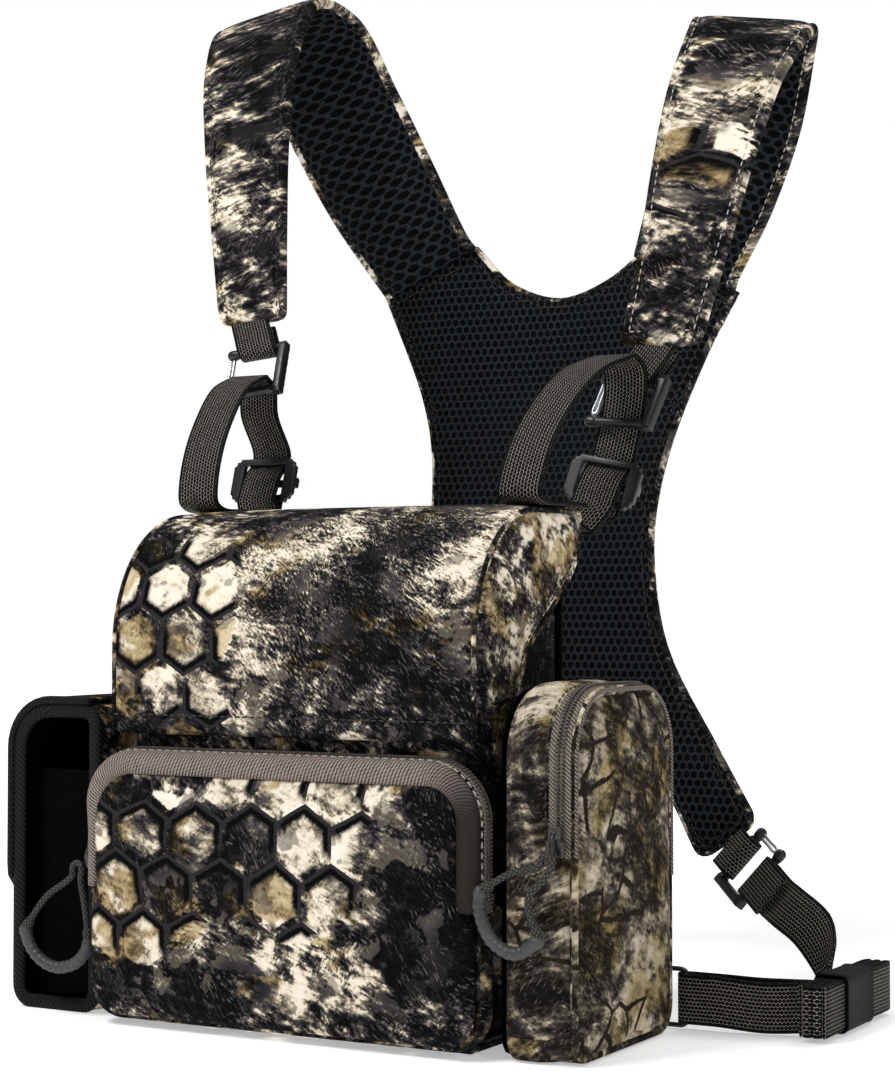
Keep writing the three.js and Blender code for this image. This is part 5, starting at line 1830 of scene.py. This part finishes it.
def corner_ring(side, name):
    skin = Skin()
    line = rounded(RING["inner"] + 1, RING["outer"] - 1, RING["low"] + 1, RING["high"] - 1, (3, 3, 3, 3), 6)
    ring = [(Vector((side * p.x, p.y)), Vector((side * out.x, out.y))) for p, out in line]
    band(skin, ring, on_xz, oval(1.0, 1.45, (0, RING["y"]), 12))
    body = name + "_corner_ring"
    dress(skin.build(name + "_ring", ["plastic"]), body, body)


def round_ring(side, x, way, reach):
    """Stations of webbing that turns round the ring's upright bar at x."""
    bar = Vector((side * x, RING["y"], (RING["low"] + RING["high"]) / 2))
    return round_bar(bar, RING["bar"], Vector((side * way, 0, 0)), Vector((0, -1, 0)), UPRIGHT, reach, reach)


def floor_strap(side, name):
    """Doubled webbing from the ring to the hank, and the folded runs of the hank."""
    def station(x, y, z=HANK["z"]):
        return Vector((side * x, y, z)), UPRIGHT

    stations = [station(180.5, 55, HANK["z"] + 1), station(162, 50.5),
                *round_ring(side, RING["outer"] - 1, 1, 14),
                station(160, 55, HANK["z"] + 1), station(180.5, 60, HANK["z"] + 1)]
    skin = Skin()
    ribbon(skin, stations, 1.5, 6)
    path = []
    for k in range(HANK["folds"] + 1):
        v = (k - HANK["folds"] / 2) * HANK["pitch"]
        way = 1 if k % 2 else -1
        reach = (HANK["length"] / 2 - 1.2 - 0.8 * (k % 2)) * way
        path += [(reach, v), (reach * 0.4, v + 0.12), (-reach * 0.4, v - 0.12), (-reach, v)]
        if k < HANK["folds"]:
            path.append((-reach - way, v + HANK["pitch"] / 2))
    runs = [station(HANK["x"] - v, HANK["y"] + u, HANK["z"] + 0.9) for u, v in path]
    ribbon(skin, runs, 1.5, 4, 90.0)
    dress(skin.build(name + "_floor_strap", ["webbing"]), "pack", name + "_lower_strap")


def keeper(side, name):
    """A sleeve round the hank, a little fuller at its two hems."""
    near, far = KEEPER_ENDS
    rims = ((near, 0.25), (near + 0.6, 0), (0, 0), (far - 0.6, 0), (far, 0.25))
    shape = [(full, u) for u, full in rims] + [(full - 1.0, u) for u, full in reversed(rims)]
    sleeve = rounded(-7.0, 7.0, 0.6, 23.3, (3, 3, 3, 3), 4)
    rows = [[Vector((side * (HANK["x"] - p.x - out.x * o), HANK["y"] + u, p.y + out.y * o)) for o, u in shape]
            for p, out in sleeve]
    around = [p for p, _ in sleeve]
    skin = Skin()
    skin.loft(rows, [u for _, u in shape] + [shape[0][1]], lengths_along(around + around[:1]), 0, True)
    dress(skin.build(name + "_keeper_band", ["keeper"]), name + "_keeper", name + "_keeper")


def corner_loop(side, name):
    middle = (RING["low"] + RING["high"]) / 2
    sewn = [(Vector((side * x, BACK["front"] + deep, z)), UPRIGHT)
            for x, deep, z in ((BACK["half"] + 1.2, 1.3, middle + 1), (87, 6.6, middle))]
    tab = round_ring(side, RING["inner"] + 1, -1, 12)[:-2]
    strap_piece(name + "_corner_loop", sewn + tab, "pack", name + "_corner_tab")


def inner_board_and_magnets():
    """CAD nodes that already have their real shape."""
    for node in ("base_stiffener", "front_magnet", "lid_magnet"):
        carried = bpy.data.objects[node]
        for slot in carried.material_slots:
            slot.material = LOOKS["board"]


place_camera()
LOOKS = make_materials()
sliders()
main_pouch()
lid()
front_pocket()
right_pouch()
left_pouch()
attach_straps()
yoke()
for strap_side, strap_name in ((-1, "left"), (1, "right")):
    shoulder_strap(strap_side, strap_name)
    upper_webbing(strap_side, strap_name)
    lower_webbing(strap_side, strap_name)
    lower_strap(strap_side, strap_name)
inner_board_and_magnets()
place_floor()
place_lights()
